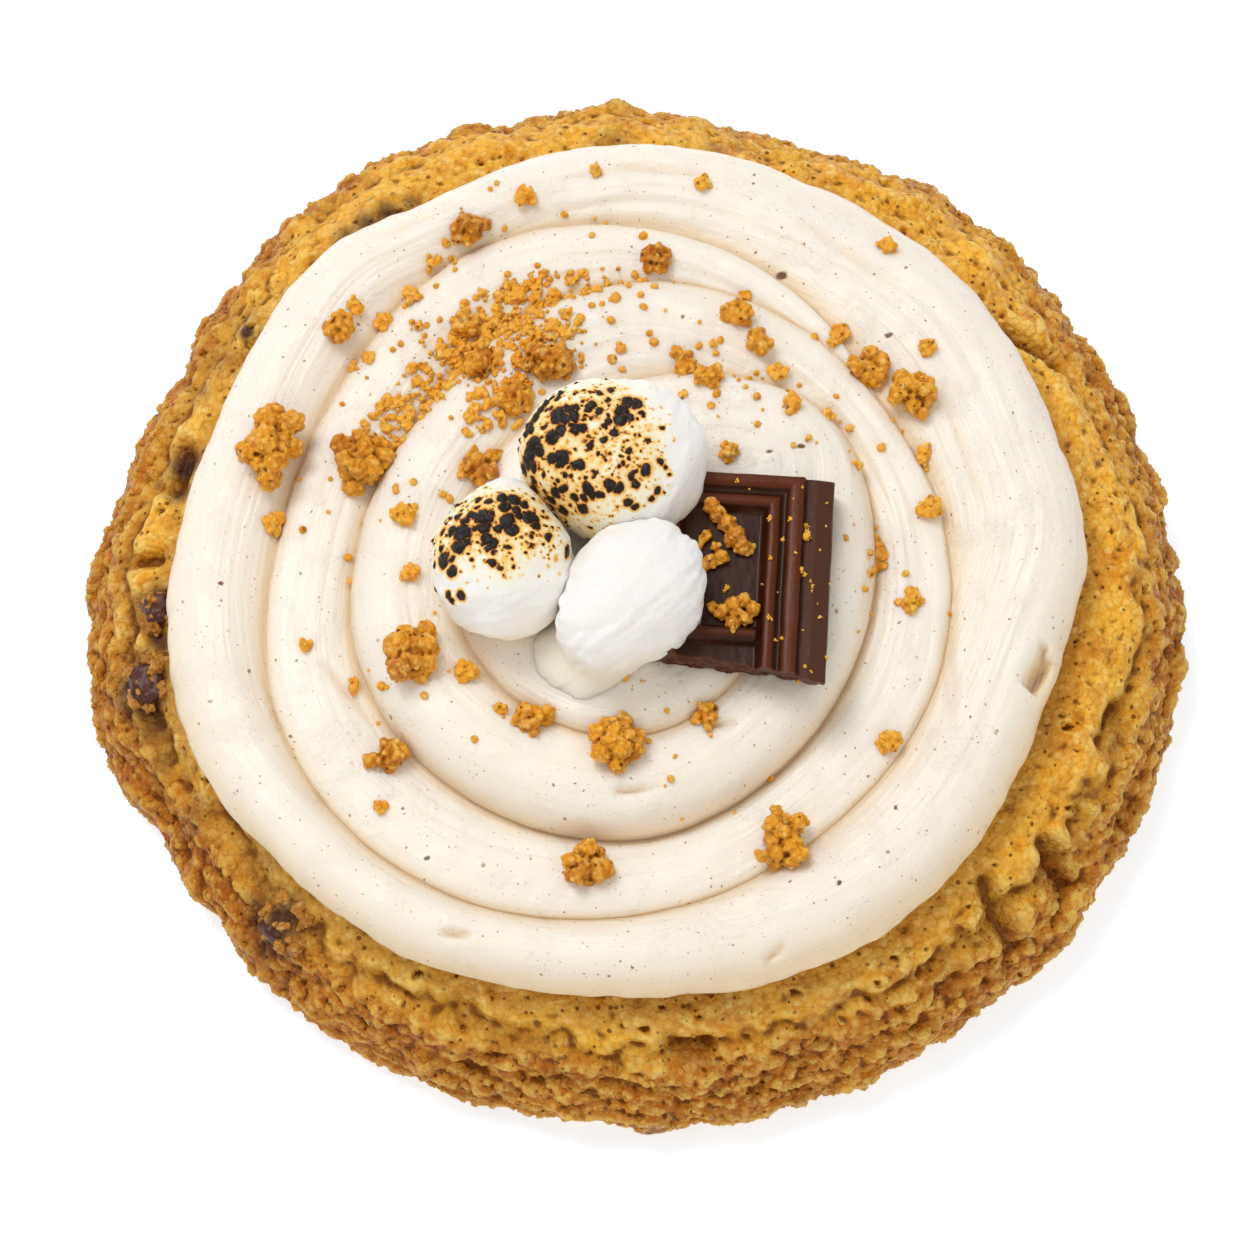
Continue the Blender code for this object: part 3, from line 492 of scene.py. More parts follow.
def dough_finish(name, pale, golden, brown, deep, dust, wall=None, depth_of_glow=0.12):
    """Baked dough: golden with browner patches and rounded sugary grains, with painted shade in its pores,
    crevices and hollows and between its grains, and painted highlights and glints.
    """
    dough = Finish(name, brown, Specular_IOR_Level=0.17, Subsurface_Weight=depth_of_glow,
                   Subsurface_Radius=(1.0, 0.45, 0.10), Subsurface_Scale=0.0008)
    patch = dough.maths("ADD", dough.maths("MULTIPLY", dough.clouds(7.0, 3.0), 0.6),
                      dough.maths("MULTIPLY", dough.clouds(1.6, 3.0), 0.4))
    dough.coat(golden, dough.soft(patch, 0.37, 0.56))
    dough.coat(dust, dough.soft(dough.clouds(4.5, 3.0), 0.52, 0.68), 0.30)
    # The side is coated darker and more orange: its baked colour, with painted shade.
    if wall:
        uneven = dough.spread(patch, 0.70, 0.35, 0.45, 1.0)
        dough.coat(wall, dough.maths("MULTIPLY", dough.share("wall"), uneven))
    from_grain, grain_ranks = dough.dots(SUGAR_SIZE)
    dough.coat(pale, dough.maths("POWER", grain_ranks[0], 2.5), 0.45)
    dough.coat(pale, dough.maths("POWER", dough.share("tint"), 2.5), 0.5)
    # Damp dough and painted shade in a band beside the frosting's edge.
    dough.coat(DAMP_AND_SHADE_COLOUR, dough.share("damp_and_shade"), 0.40)
    # Painted glints: the brightest grains are lightened.
    dough.coat(PAINTED_GLINT_COLOUR, dough.soft(grain_ranks[0], 0.90, 0.97), 0.2)
    # Painted shade in the gaps between the grains.
    dough.coat(brown, dough.soft(from_grain, 0.45, 0.85), 0.35)
    # Pores: small holes darkened with painted shade.
    from_pore, pore_ranks = dough.dots(PORE_SPACING)
    pore_size = dough.maths("MULTIPLY", dough.maths("POWER", pore_ranks[1], 1.3), 0.23)
    is_pore = dough.soft(dough.maths("SUBTRACT", pore_size, from_pore), -0.05, 0.05)
    dough.coat(deep, is_pore, 0.85)
    # Painted shade where the skin lies sunk below its surroundings, and painted highlight where it stands
    # proud.
    sunk = dough.share("sunk")
    crevice = 0.05 if wall else -0.08
    dough.coat(deep, dough.soft(sunk, crevice, crevice + 0.8), 0.85)
    dough.coat(pale, dough.soft(sunk, -0.2, -1.0), 0.65)
    # Painted shade on the side, strongest on the left, multiplied over its colour.
    if wall:
        dough.coat(SIDE_BROWNING_AND_SHADE, dough.share("browned_and_shaded_side"), blend="MULTIPLY")
    # Painted shade in the hollows.
    dough.coat(deep, dough.share("hollow"), 0.58)
    dough.coat(STAIN_COLOUR, dough.soft(dough.share("stain"), 0.0, 0.75))
    fine = dough.clouds(0.3, 2.0)
    domes = dough.maths("MULTIPLY", dough.maths("POWER", from_grain, 2.0), 1.3)
    bump = dough.maths("SUBTRACT", dough.maths("MULTIPLY", fine, 0.9), domes)
    bump = dough.maths("SUBTRACT", bump, dough.maths("MULTIPLY", is_pore, 1.2))
    dough.seal(bump, 0.24, roughness=dough.spread(fine, 0.3, 0.7, 0.22, 0.5))
    return dough


cookie_finish = dough_finish("baked_dough_crust", pale=(1.0, 0.71, 0.18), golden=(1.0, 0.51, 0.043),
                             brown=(0.78, 0.30, 0.012), deep=(0.21, 0.058, 0.004), dust=(0.54, 0.28, 0.095),
                             wall=(0.52, 0.145, 0.003))
cookie = piece_of("cookie_crust", cookie_points, cookie_faces, cookie_finish,
                  **{label: np.append(values, (0, 0)) for label, values in cookie_shares.items()})
# How sunk each point lies, for the painted shade and highlights of its finish.
store_share(cookie, "sunk", sunk_share(cookie, 10, 0.22))


def keep_in_size(piece):
    """Press back the few points that stand out past the solids' overall size."""
    points = read_rows(piece.data.vertices, "co", 3)
    points = np.clip(points, np.array(solid_low) + 0.02 * MM, np.array(solid_high) - 0.02 * MM)
    piece.data.vertices.foreach_set("co", points.ravel())
    piece.data.update()


def granule_tree():
    """Geometry Nodes: rounded granules stuck all over a piece's skin, as sugar and crumb are."""
    tree = bpy.data.node_groups.new("Granules", "GeometryNodeTree")
    tree.interface.new_socket("Geometry", in_out="INPUT", socket_type="NodeSocketGeometry")
    tree.interface.new_socket("Geometry", in_out="OUTPUT", socket_type="NodeSocketGeometry")
    for label, kind in (("Spacing", "Float"), ("Most Per Area", "Float"), ("Smallest", "Float"),
                        ("Largest", "Float"), ("Lift", "Float"), ("Lumpiness", "Float"),
                        ("Roundness", "Int"), ("Keep Core", "Bool"), ("Seed", "Int"),
                        ("Finish", "Material")):
        tree.interface.new_socket(label, in_out="INPUT", socket_type="NodeSocket" + kind)

    def node(kind, sockets=None, **settings):
        """Add a node to this tree, as add_node does."""
        return add_node(tree, kind, sockets, **settings)

    def scaled(vector, amount):
        """A vector made longer or shorter."""
        return node("ShaderNodeVectorMath", {0: vector, "Scale": amount}, operation="SCALE").outputs[0]

    def random_between(low, high, seed):
        """A random number, or a random vector, for each granule."""
        vector = isinstance(low, tuple)
        sockets = {0 if vector else 2: low, 1 if vector else 3: high, "Seed": seed}
        made = node("FunctionNodeRandomValue", sockets, data_type="FLOAT_VECTOR" if vector else "FLOAT")
        return made.outputs[0 if vector else 1]

    given = node("NodeGroupInput").outputs
    seed = given["Seed"]
    share = node("GeometryNodeInputNamedAttribute", {"Name": "granule_share"}, data_type="FLOAT")
    scatter = node("GeometryNodeDistributePointsOnFaces", {
        "Mesh": given["Geometry"], "Distance Min": given["Spacing"], "Density Max": given["Most Per Area"],
        "Density Factor": share.outputs["Attribute"], "Seed": seed}, distribute_method="POISSON")
    size = random_between(given["Smallest"], given["Largest"], seed)
    form = random_between((0.75, 0.75, 0.7), (1.2, 1.2, 1.1), seed)
    angles = random_between((0.0, 0.0, 0.0), (6.28, 6.28, 6.28), seed)
    turned = node("FunctionNodeEulerToRotation", {0: angles})
    raised = node("GeometryNodeSetPosition", {"Geometry": scatter.outputs["Points"],
                                              "Offset": scaled(scatter.outputs["Normal"], given["Lift"])})
    ball = node("GeometryNodeMeshIcoSphere", {"Radius": 1.0, "Subdivisions": given["Roundness"]})
    stuck = node("GeometryNodeInstanceOnPoints", {
        "Points": raised.outputs[0], "Instance": ball.outputs["Mesh"],
        "Rotation": turned.outputs[0], "Scale": scaled(form, size)})
    tinted = node("GeometryNodeStoreNamedAttribute", {"Geometry": stuck.outputs[0], "Name": "tint",
                                                      "Value": random_between(0.0, 1.0, 7)},
                  data_type="FLOAT", domain="INSTANCE")
    real = node("GeometryNodeRealizeInstances", {"Geometry": tinted.outputs[0]})
    wave = node("ShaderNodeTexNoise", {"Scale": 1600.0, "Detail": 1.0})
    centred = node("ShaderNodeMath", {0: wave.outputs[0], 1: 0.5}, operation="SUBTRACT")
    amount = node("ShaderNodeMath", {0: centred.outputs[0], 1: given["Lumpiness"]}, operation="MULTIPLY")
    push = scaled(node("GeometryNodeInputNormal").outputs[0], amount.outputs[0])
    lumpy_balls = node("GeometryNodeSetPosition", {"Geometry": real.outputs[0], "Offset": push})
    core = node("GeometryNodeSwitch", {"Switch": given["Keep Core"], "True": given["Geometry"]},
                input_type="GEOMETRY")
    joined = node("GeometryNodeJoinGeometry", {"Geometry": core.outputs[0]})
    tree.links.new(lumpy_balls.outputs[0], joined.inputs[0])
    smooth = node("GeometryNodeSetShadeSmooth", {"Geometry": joined.outputs[0]})
    painted = node("GeometryNodeSetMaterial", {"Geometry": smooth.outputs[0], "Material": given["Finish"]})
    tree.links.new(painted.outputs[0], node("NodeGroupOutput").inputs[0])
    return tree


granules = granule_tree()


def stick_granules(carrier, name, finish, spacing, most, smallest, largest, lift=0.0, lumpiness=0.0,
                   roundness=1, keep_core=False, seed=1):
    """Run the Granules tree on a carrier and return its result as a plain mesh piece."""
    modifier = carrier.modifiers.new("Granules", "NODES")
    modifier.node_group = granules
    given = {"Spacing": spacing * MM, "Most Per Area": most / MM ** 2, "Smallest": smallest * MM,
             "Largest": largest * MM, "Lift": lift * MM, "Lumpiness": lumpiness * MM,
             "Roundness": roundness, "Keep Core": keep_core, "Seed": seed, "Finish": finish.material}
    for socket in granules.interface.items_tree:
        if socket.in_out == "INPUT" and socket.name in given:
            modifier[socket.identifier] = given[socket.name]
    depsgraph = bpy.context.evaluated_depsgraph_get()
    mesh = bpy.data.meshes.new_from_object(carrier.evaluated_get(depsgraph), preserve_all_data_layers=True,
                                           depsgraph=depsgraph)
    carrier.modifiers.remove(modifier)
    mesh.name = name
    return link_piece(name, mesh)


cookie_grains = stick_granules(cookie, "cookie_grains", cookie_finish, spacing=0.52, most=4.2,
                               smallest=0.28, largest=0.52, lift=-0.24, lumpiness=0.10, seed=3)
for piece in (cookie, cookie_grains):
    keep_in_size(piece)
    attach(piece, "root")
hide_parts("cookie")

# The chunks: rough blocks of chocolate baked into the cookie, bare where the dough broke
# away in its side.  They are softened boxes with a lumpy skin and a dull, warm shine.
BOXINESS = 0.6
# Each one's x, y, z, length, depth and height.
CHUNKS = {
    "chunk_front": (-31.8, -34.4, 9.4, 4.8, 3.4, 3.0),
    "chunk_left": (-44.9, -12.0, 13.1, 3.8, 3.4, 2.8),
    "chunk_rim": (-44.2, -5.4, 14.9, 3.2, 2.2, 2.2),
}


def ball_of(subdivisions):
    """Points and faces of a ball of radius 1."""
    bm = bmesh.new()
    bmesh.ops.create_icosphere(bm, subdivisions=subdivisions, radius=1.0)
    bm.verts.ensure_lookup_table()
    ball_points = np.array([vert.co[:] for vert in bm.verts])
    ball_faces = [tuple(vert.index for vert in face.verts) for face in bm.faces]
    bm.free()
    return ball_points, ball_faces


def chocolate_finish(name, body, worn, dull=None, **sockets):
    """Set chocolate: dark brown, redder where it is worn and where painted light catches its crests, with a
    faint bloom in streaks.
    """
    finish = Finish(name, body, **sockets)
    patch = finish.clouds(5.0, 3.0)
    streak_place = finish.node("ShaderNodeMapping", {"Vector": finish.place, "Scale": (1.0, 0.16, 1.0)})
    streaks = finish.clouds(0.9, 4.0, place=streak_place.outputs[0])
    finish.coat([1.35 * value for value in body], finish.soft(patch, 0.35, 0.7))
    finish.coat((0.16, 0.085, 0.055), finish.soft(streaks, 0.45, 0.8), 0.1)
    if dull:
        finish.coat(dull, finish.share("flange"), 0.8)
    finish.coat(worn, finish.share("worn"))
    bump = finish.maths("ADD", streaks, finish.maths("MULTIPLY", finish.clouds(0.4, 3.0), 0.5))
    finish.seal(bump, 0.05, 0.6, roughness=finish.spread(patch, 0.3, 0.7, 0.3, 0.46))
    return finish


def facing_at(x, y):
    """Angle at which a chunk lies along the cookie's rim."""
    return math.atan2(y, x) + math.pi / 2.0


chunk_finish = chocolate_finish("baked_in_chocolate", body=(0.070, 0.018, 0.011), worn=(0.13, 0.04, 0.022),
                                Specular_IOR_Level=0.3)
chunk_ball, chunk_faces = ball_of(5)
boxy = np.copysign(np.abs(chunk_ball) ** BOXINESS, chunk_ball)
for chunk_name, (x, y, z, run, depth, tall) in CHUNKS.items():
    half = np.array((run, depth, tall)) * 0.5
    rough = 1.0 + 0.20 * lumps(boxy * 1.6 + (x, y, z), 1.0) + 0.08 * lumps(boxy * 4.0 + (x, y, z), 1.0)
    spin = np.array(Matrix.Rotation(facing_at(x, y), 3, "Z"))
    chunk_points = (boxy * half * rough[:, None]) @ spin.T + (x, y, z) + CENTRING
    chunk = piece_of(chunk_name + "_chocolate", chunk_points, chunk_faces, chunk_finish)
    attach(chunk, "root")
    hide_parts(chunk_name)

# Where the dough rose round the chunks: a few beads, dark with melted chocolate, that
# overhang their edges or stick to their tops.
FUSED_DETAIL = 0.15
RIM_BEADS = 9
TOP_BEADS = 5
stained_finish = dough_finish("stained_dough", pale=(0.66, 0.36, 0.10), golden=(0.52, 0.22, 0.030),
                              brown=(0.36, 0.125, 0.012), deep=(0.10, 0.030, 0.006), dust=(0.34, 0.18, 0.075))
core_ball, core_faces = ball_of(2)
chance = random.Random(41)


def height_under(tree, x, y):
    """Height in millimetres of the surface below a place."""
    return tree.ray_cast(Vector((x * MM, y * MM, 0.1)), Vector((0.0, 0.0, -1.0)))[0].z / MM


def fused_heap(name, balls, finish, smallest, largest, spacing, lift=0.08, detail=FUSED_DETAIL, seed=5):
    """Crust the balls with granules and melt everything into one lumpy skin."""
    heap_points, heap_faces = [], []
    for x, y, z, radius in balls:
        first = len(heap_points) * len(core_ball)
        heap_faces.extend(tuple(corner + first for corner in face) for face in core_faces)
        heap_points.append(core_ball * radius + (x, y, z))
    heap_points = np.concatenate(heap_points)
    core = piece_of(name + "_core", heap_points, heap_faces, finish, granule_share=np.ones(len(heap_points)))
    crusted = stick_granules(core, name + "_crusted", finish, spacing=spacing, most=12.0,
                             smallest=smallest, largest=largest, lift=lift, lumpiness=0.12,
                             roundness=2, keep_core=True, seed=seed)
    fuse = crusted.modifiers.new("Fused", "REMESH")
    fuse.mode = "VOXEL"
    fuse.voxel_size = detail * MM
    fuse.use_smooth_shade = True
    depsgraph = bpy.context.evaluated_depsgraph_get()
    mesh = bpy.data.meshes.new_from_object(crusted.evaluated_get(depsgraph))
    mesh.name = name
    mesh.materials.clear()
    mesh.materials.append(finish.material)
    piece = link_piece(name, mesh)
    for spent in (core, crusted):
        bpy.data.objects.remove(spent, do_unlink=True)
    # How sunk each point lies, for the painted shade and highlights of its finish.
    store_share(piece, "sunk", sunk_share(piece, 8, 0.9 * detail))
    return piece


cookie_tree = BVHTree.FromObject(cookie, bpy.context.evaluated_depsgraph_get())
rim_balls = []
for x, y, z, run, depth, tall in CHUNKS.values():
    facing = facing_at(x, y)
    for bead in range(RIM_BEADS + TOP_BEADS):
        if bead < RIM_BEADS:
            angle = 2.0 * math.pi * (bead + chance.uniform(-0.45, 0.45)) / RIM_BEADS
            share, radius = chance.uniform(0.85, 1.2), chance.uniform(0.35, 0.85)
            lowest = z + 0.1 * tall
        else:
            angle = chance.uniform(0.0, 6.28)
            share, radius = chance.uniform(0.1, 0.75), chance.uniform(0.25, 0.5)
            lowest = z + 0.42 * tall
        along_edge, off_edge = 0.5 * run * share * math.cos(angle), 0.5 * depth * share * math.sin(angle)
        bead_x = x + CENTRING[0] + along_edge * math.cos(facing) - off_edge * math.sin(facing)
        bead_y = y + CENTRING[1] + along_edge * math.sin(facing) + off_edge * math.cos(facing)
        level = max(height_under(cookie_tree, bead_x, bead_y), lowest)
        rim_balls.append((bead_x, bead_y, level - 0.2 * radius, radius))
chunk_rims = fused_heap("chunk_rims", rim_balls, stained_finish, smallest=0.16, largest=0.30, spacing=0.45,
                        lift=-0.03, detail=0.12, seed=9)
keep_in_size(chunk_rims)
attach(chunk_rims, "root")

# The frosting: one rope of vanilla buttercream, piped inwards in a spiral and left with the
# nozzle's fine ridges, small air holes and a torn edge.  A strip is lofted round the
# spiral, each turn sharing its edge with the next.
FROSTING_BASE = 16.3
FROSTING_WAIST = 18.0
FROSTING_UNDERCUT = 1.8
# The groove between the turns: its radius every 30 degrees, and its floor every 90.
GROOVE_START = 30.0
GROOVE_STEP = 30.0
GROOVE_RADII = (
    25.4, 27.9, 30.5, 32.0, 31.0, 32.6, 37.0, 38.2, 36.1, 32.9, 30.6, 27.9,
    25.4, 24.9, 24.5, 23.2, 22.8, 25.2, 28.4, 29.4, 28.9, 25.7, 23.0, 21.5,
    20.7, 17.0, 14.0, 13.3, 14.2, 15.8, 18.6, 20.4, 20.4, 17.5, 13.0, 7.0, 0.0,
)
PROFILE_STEP = 90.0
GROOVE_FLOORS = (21.8, 21.0, 20.6, 20.8, 21.8, 21.8, 20.6, 19.9, 22.0, 24.0, 23.8, 24.2, 25.6)
ROPE_CRESTS = (22.7, 22.4, 22.0, 21.7, 22.9, 24.4, 25.3, 25.6, 25.5, 25.8, 25.8, 25.9, 25.6)
OUTER_CREST = 22.7
ROPE_RISE = 4.2
ROPE_STEEPNESS = 0.35
TURN_COLUMNS = 620
RISE_ROWS = 12
FALL_ROWS = 24
ROPE_BULGE = 0.35
WALL_LEANS = (66.0, 50.0, 34.0, 18.0, 0.0)
# Flaws in the frosting: x, y, heading in degrees, length, width, depth.
FROSTING_FLAWS = (
    (-0.3, -25.6, 8.0, 3.2, 0.36, 1.0), (1.6, -25.2, 20.0, 1.8, 0.25, 0.6),
    (-15.8, -38.2, -6.0, 2.8, 0.38, 0.95), (12.2, -39.6, 38.0, 2.6, 0.38, 0.95),
    (36.2, -13.6, 62.0, 4.2, 0.75, 3.4), (36.6, -12.0, 75.0, 2.6, 0.4, 2.2),
    (37.6, -17.0, 40.0, 2.4, 0.4, 1.4),
    (22.3, -37.6, 48.0, 4.5, 0.7, 0.55), (-25.6, -15.6, -49.0, 8.0, 0.5, 0.50),
    (28.2, -13.5, 92.0, 12.0, 0.55, 0.45), (7.5, -19.5, 10.0, 3.0, 0.4, 0.5),
    (20.0, 27.0, -38.0, 12.0, 0.6, 0.35), (30.0, 8.0, -72.0, 14.0, 0.6, 0.35),
    (2.0, 36.0, -6.0, 12.0, 0.5, 0.30), (-20.0, 31.0, 30.0, 8.0, 0.5, 0.30),
)
# Flecks of burnt crumb pressed into it: x, y, size.
FLECKS = (
    (13.6, 25.4, 0.62), (23.4, 19.1, 0.42), (12.3, 6.2, 0.34), (15.1, 6.7, 0.38), (-18.3, -31.0, 0.36),
    (-30.8, -19.7, 0.34), (-37.8, -16.7, 0.34), (-37.3, -5.6, 0.30), (11.6, -23.5, 0.30), (33.9, -23.0, 0.34),
    (23.1, -26.6, 0.30), (17.9, -33.6, 0.34),
)
# Where fine crumbs fell: x, y, spread and how thickly.
CRUMB_FALLS = (
    (-24.3, 8.4, 1.6, 0.45), (-22.5, 10.6, 1.9, 0.80), (-20.9, 12.1, 1.9, 0.85), (-19.4, 13.5, 2.0, 0.80),
    (-17.8, 15.2, 2.1, 0.85), (-16.7, 16.9, 2.3, 1.00), (-14.9, 18.3, 2.5, 1.00), (-13.3, 19.8, 2.5, 1.00),
    (-11.9, 21.2, 2.5, 1.00), (-10.3, 22.7, 2.3, 0.95), (-8.6, 23.8, 1.9, 0.75), (-13.6, 16.0, 2.4, 0.90),
    (-8.3, 18.0, 2.7, 0.90), (-10.8, 19.3, 2.4, 0.90), (-6.6, 16.0, 1.9, 0.50), (-12.3, 12.0, 2.3, 0.80),
    (-14.2, 9.8, 1.9, 0.45), (-9.6, 12.9, 1.9, 0.55), (-3.2, 23.8, 2.6, 0.30), (-5.8, 24.2, 2.1, 0.40),
    (-20.5, 17.5, 3.2, 0.16), (-24.0, 15.5, 3.0, 0.10), (-18.3, 26.4, 2.2, 0.20), (-18.0, 2.0, 5.0, 0.06),
    (8.0, 16.0, 5.0, 0.07), (18.0, 8.0, 7.0, 0.035), (0.0, 18.5, 5.0, 0.06), (-10.0, 30.0, 8.0, 0.022),
    (2.0, -20.0, 7.0, 0.02), (-20.0, -17.0, 6.0, 0.025), (22.0, -5.0, 5.0, 0.04), (-26.0, 3.0, 5.0, 0.05),
)


def outer_radius(turn_degrees):
    """Outer edge of the rope: the frosting's own edge on the first turn, then the groove."""
    edge = around(FROSTING_RADII, turn_degrees)
    groove = along(GROOVE_RADII, (turn_degrees - GROOVE_START) / GROOVE_STEP)
    return np.where(turn_degrees < GROOVE_START, edge, groove)


def profile_height(values, turn_degrees):
    """Height at an angle along the rope, from values at even steps."""
    return along(values, (turn_degrees - GROOVE_START) / PROFILE_STEP)


def rope_points(turn_degrees, share):
    """Points on the rope's top; share runs from its outer edge to its inner edge."""
    outer, inner = outer_radius(turn_degrees), outer_radius(turn_degrees + 360.0)
    width = outer - inner
    on_ring = turn_degrees < GROOVE_START
    inner_floor = profile_height(GROOVE_FLOORS, turn_degrees + 360.0)
    outer_floor = np.where(on_ring, FROSTING_WAIST, profile_height(GROOVE_FLOORS, turn_degrees))
    sunk = 0.5 * (outer_floor + inner_floor)
    crest = np.minimum(profile_height(ROPE_CRESTS, turn_degrees), sunk + ROPE_STEEPNESS * width)
    crest = np.where(on_ring, OUTER_CREST, np.maximum(crest, np.maximum(outer_floor, inner_floor)))
    rise = np.minimum(ROPE_RISE, 0.45 * width)
    rise_share = RISE_ROWS / (RISE_ROWS + FALL_ROWS)
    lean = 0.5 * math.pi * np.minimum(share / rise_share, 1.0)
    fall = np.clip((share - rise_share) / (1.0 - rise_share), 0.0, 1.0)
    rising = share < rise_share
    turn = np.radians(turn_degrees)
    toward_viewer = ease(0.3, -0.6, np.sin(turn)) - np.where(on_ring, 0.9, 0.2)
    bulge = ROPE_BULGE * toward_viewer * np.sin(2.0 * lean) * np.clip((crest - outer_floor) / 3.0, 0.0, 1.0)
    set_in = np.where(rising, rise * (1.0 - np.cos(lean)) - bulge, rise + (width - rise) * fall)
    level = np.where(rising, outer_floor + (crest - outer_floor) * np.sin(lean),
                     crest - (crest - inner_floor) * fall ** 2.4)
    return on_turn(outer - set_in, turn, level)


def nozzle_marks(points, turn_degrees, share):
    """Height of ridges that run along the rope, strongest on the right and at the back."""
    width = outer_radius(turn_degrees) - outer_radius(turn_degrees + 360.0)
    from_edge = share * width
    turn = np.radians(turn_degrees)
    place = np.stack((from_edge / 1.5, points[:, 0] / 22.0, points[:, 1] / 22.0), axis=1)
    fine_place = np.stack((from_edge / 0.7 + 40.0, points[:, 0] / 11.0, points[:, 1] / 11.0), axis=1)
    strength = 0.35 + 0.65 * ease(-0.4, 0.7, np.cos(turn - math.radians(45.0)))
    fade = ease(0.0, 0.2, share) * ease(1.0, 0.85, share)
    return fade * strength * (0.30 * lumps(place, 1.0) + 0.20 * lumps(fine_place, 1.0))


def rope_degrees(columns, first=GROOVE_START - 360.0):
    """Angles of the rope's columns, from its outer end inwards."""
    return first + 360.0 * columns / TURN_COLUMNS


rope_rows = RISE_ROWS + FALL_ROWS
last_column = 4 * TURN_COLUMNS
grid_columns = np.repeat(np.arange(last_column), rope_rows)
grid_shares = np.tile(np.arange(rope_rows) / rope_rows, last_column)
grid_degrees = rope_degrees(grid_columns)
rope = rope_points(grid_degrees, grid_shares)
edge_wobble = lumpy(rope * (1.0, 1.0, 0.0), (0.30, 4.5), (0.14, 1.7))
on_ring = grid_columns < TURN_COLUMNS
away = ease(0.35, 0.0, grid_shares) * np.where(on_ring, 1.0, 0.35) * edge_wobble
plan_reach = np.maximum(np.hypot(rope[:, 0], rope[:, 1]), 1e-6)
rope[:, :2] *= ((plan_reach + away) / plan_reach)[:, None]
rope[:, 2] += nozzle_marks(rope, grid_degrees, grid_shares)
rope[:, 2] += lumpy(rope, (0.22, 6.5), (0.10, 2.4))
dent = np.zeros(len(rope))
for x, y, heading, length, width, depth in FROSTING_FLAWS:
    run, across = mark_out(rope + CENTRING, x, y, heading)
    taper = np.clip(1.0 - (run / (0.5 * length)) ** 2, 0.0, 1.0)
    dent = np.maximum(dent, depth * np.sqrt(taper) * np.exp(-((across / width) ** 2)))
rope[:, 2] -= dent
fleck = np.zeros(len(rope))
for x, y, size in FLECKS:
    away_x, away_y = rope[:, 0] + CENTRING[0] - x, rope[:, 1] + CENTRING[1] - y
    down = rope[np.hypot(away_x, away_y) < 0.6, 2].max() - rope[:, 2]
    away = (away_x / size) ** 2 + (away_y / (0.7 * size)) ** 2 + (down / size) ** 2
    fleck = np.maximum(fleck, np.exp(-away))

# The wall under the rope's outer edge, and the points that close the swirl.
ring_degrees = rope_degrees(np.arange(TURN_COLUMNS))
ring_edge = outer_radius(ring_degrees)
ring_wobble = edge_wobble[:TURN_COLUMNS * rope_rows:rope_rows]
wall_rings = []
for lean in np.radians(WALL_LEANS):
    wall_reach = ring_edge + ring_wobble - FROSTING_UNDERCUT * (1.0 - math.sin(lean))
    level = FROSTING_WAIST - (FROSTING_WAIST - FROSTING_BASE) * math.cos(lean)
    wall_rings.append(on_turn(wall_reach, np.radians(ring_degrees), np.full(TURN_COLUMNS, level)))
inner_ring = wall_rings[-1] * (0.5, 0.5, 1.0)
start_point = rope_points(np.array([GROOVE_START]), np.array([0.0]))
closing_points = [(0.0, 0.0, GROOVE_FLOORS[-1]), (0.0, 0.0, FROSTING_BASE)]
frosting_points = np.concatenate((rope, start_point, closing_points, *wall_rings, inner_ring))
START = len(rope)
MIDDLE = START + 1
BASE = START + 2
WALLS = START + 3


def rope_index(column, row):
    """Point number on the rope, whose inner edge is the next turn's outer edge."""
    if row == rope_rows:
        column, row = column + TURN_COLUMNS, 0
    if column >= last_column:
        return MIDDLE
    if column == TURN_COLUMNS or (column == 2 * TURN_COLUMNS and row == 0):
        return START
    return column * rope_rows + row


def ring_index(column, row):
    """Point number on the outer turn, which closes on itself."""
    return rope_index(column if row == rope_rows else column % TURN_COLUMNS, row)


def wall_index(column, ring):
    """Point number on the wall under the outer edge."""
    return WALLS + ring * TURN_COLUMNS + column % TURN_COLUMNS


frosting_faces, across_values = [], []


def add_frosting_face(corners, across=(0.0, 0.0, 0.0, 0.0)):
    """Keep a face's different corners, with each one's distance across the rope."""
    kept = [place for place, corner in enumerate(corners) if corner not in corners[:place]]
    if len(kept) > 2:
        frosting_faces.append([corners[place] for place in kept])
        across_values.extend(across[place] for place in kept)


rope_steps = np.arange(last_column + 1)
column_width = outer_radius(rope_degrees(rope_steps)) - outer_radius(rope_degrees(rope_steps, GROOVE_START))
for column in range(last_column):
    pick = ring_index if column < TURN_COLUMNS else rope_index
    near = column_width[column] / rope_rows
    far = column_width[0 if column + 1 == TURN_COLUMNS else column + 1] / rope_rows
    for row in range(rope_rows):
        add_frosting_face((pick(column, row), pick(column + 1, row),
                           pick(column + 1, row + 1), pick(column, row + 1)),
                          (near * row, far * row, far * (row + 1), near * (row + 1)))
for column in range(TURN_COLUMNS):
    add_frosting_face((ring_index(column, 0), wall_index(column, 0),
                       wall_index(column + 1, 0), ring_index(column + 1, 0)))
    for ring in range(len(wall_rings)):
        add_frosting_face((wall_index(column, ring), wall_index(column, ring + 1),
                           wall_index(column + 1, ring + 1), wall_index(column + 1, ring)))
    add_frosting_face((wall_index(column, len(wall_rings)), BASE, wall_index(column + 1, len(wall_rings))))

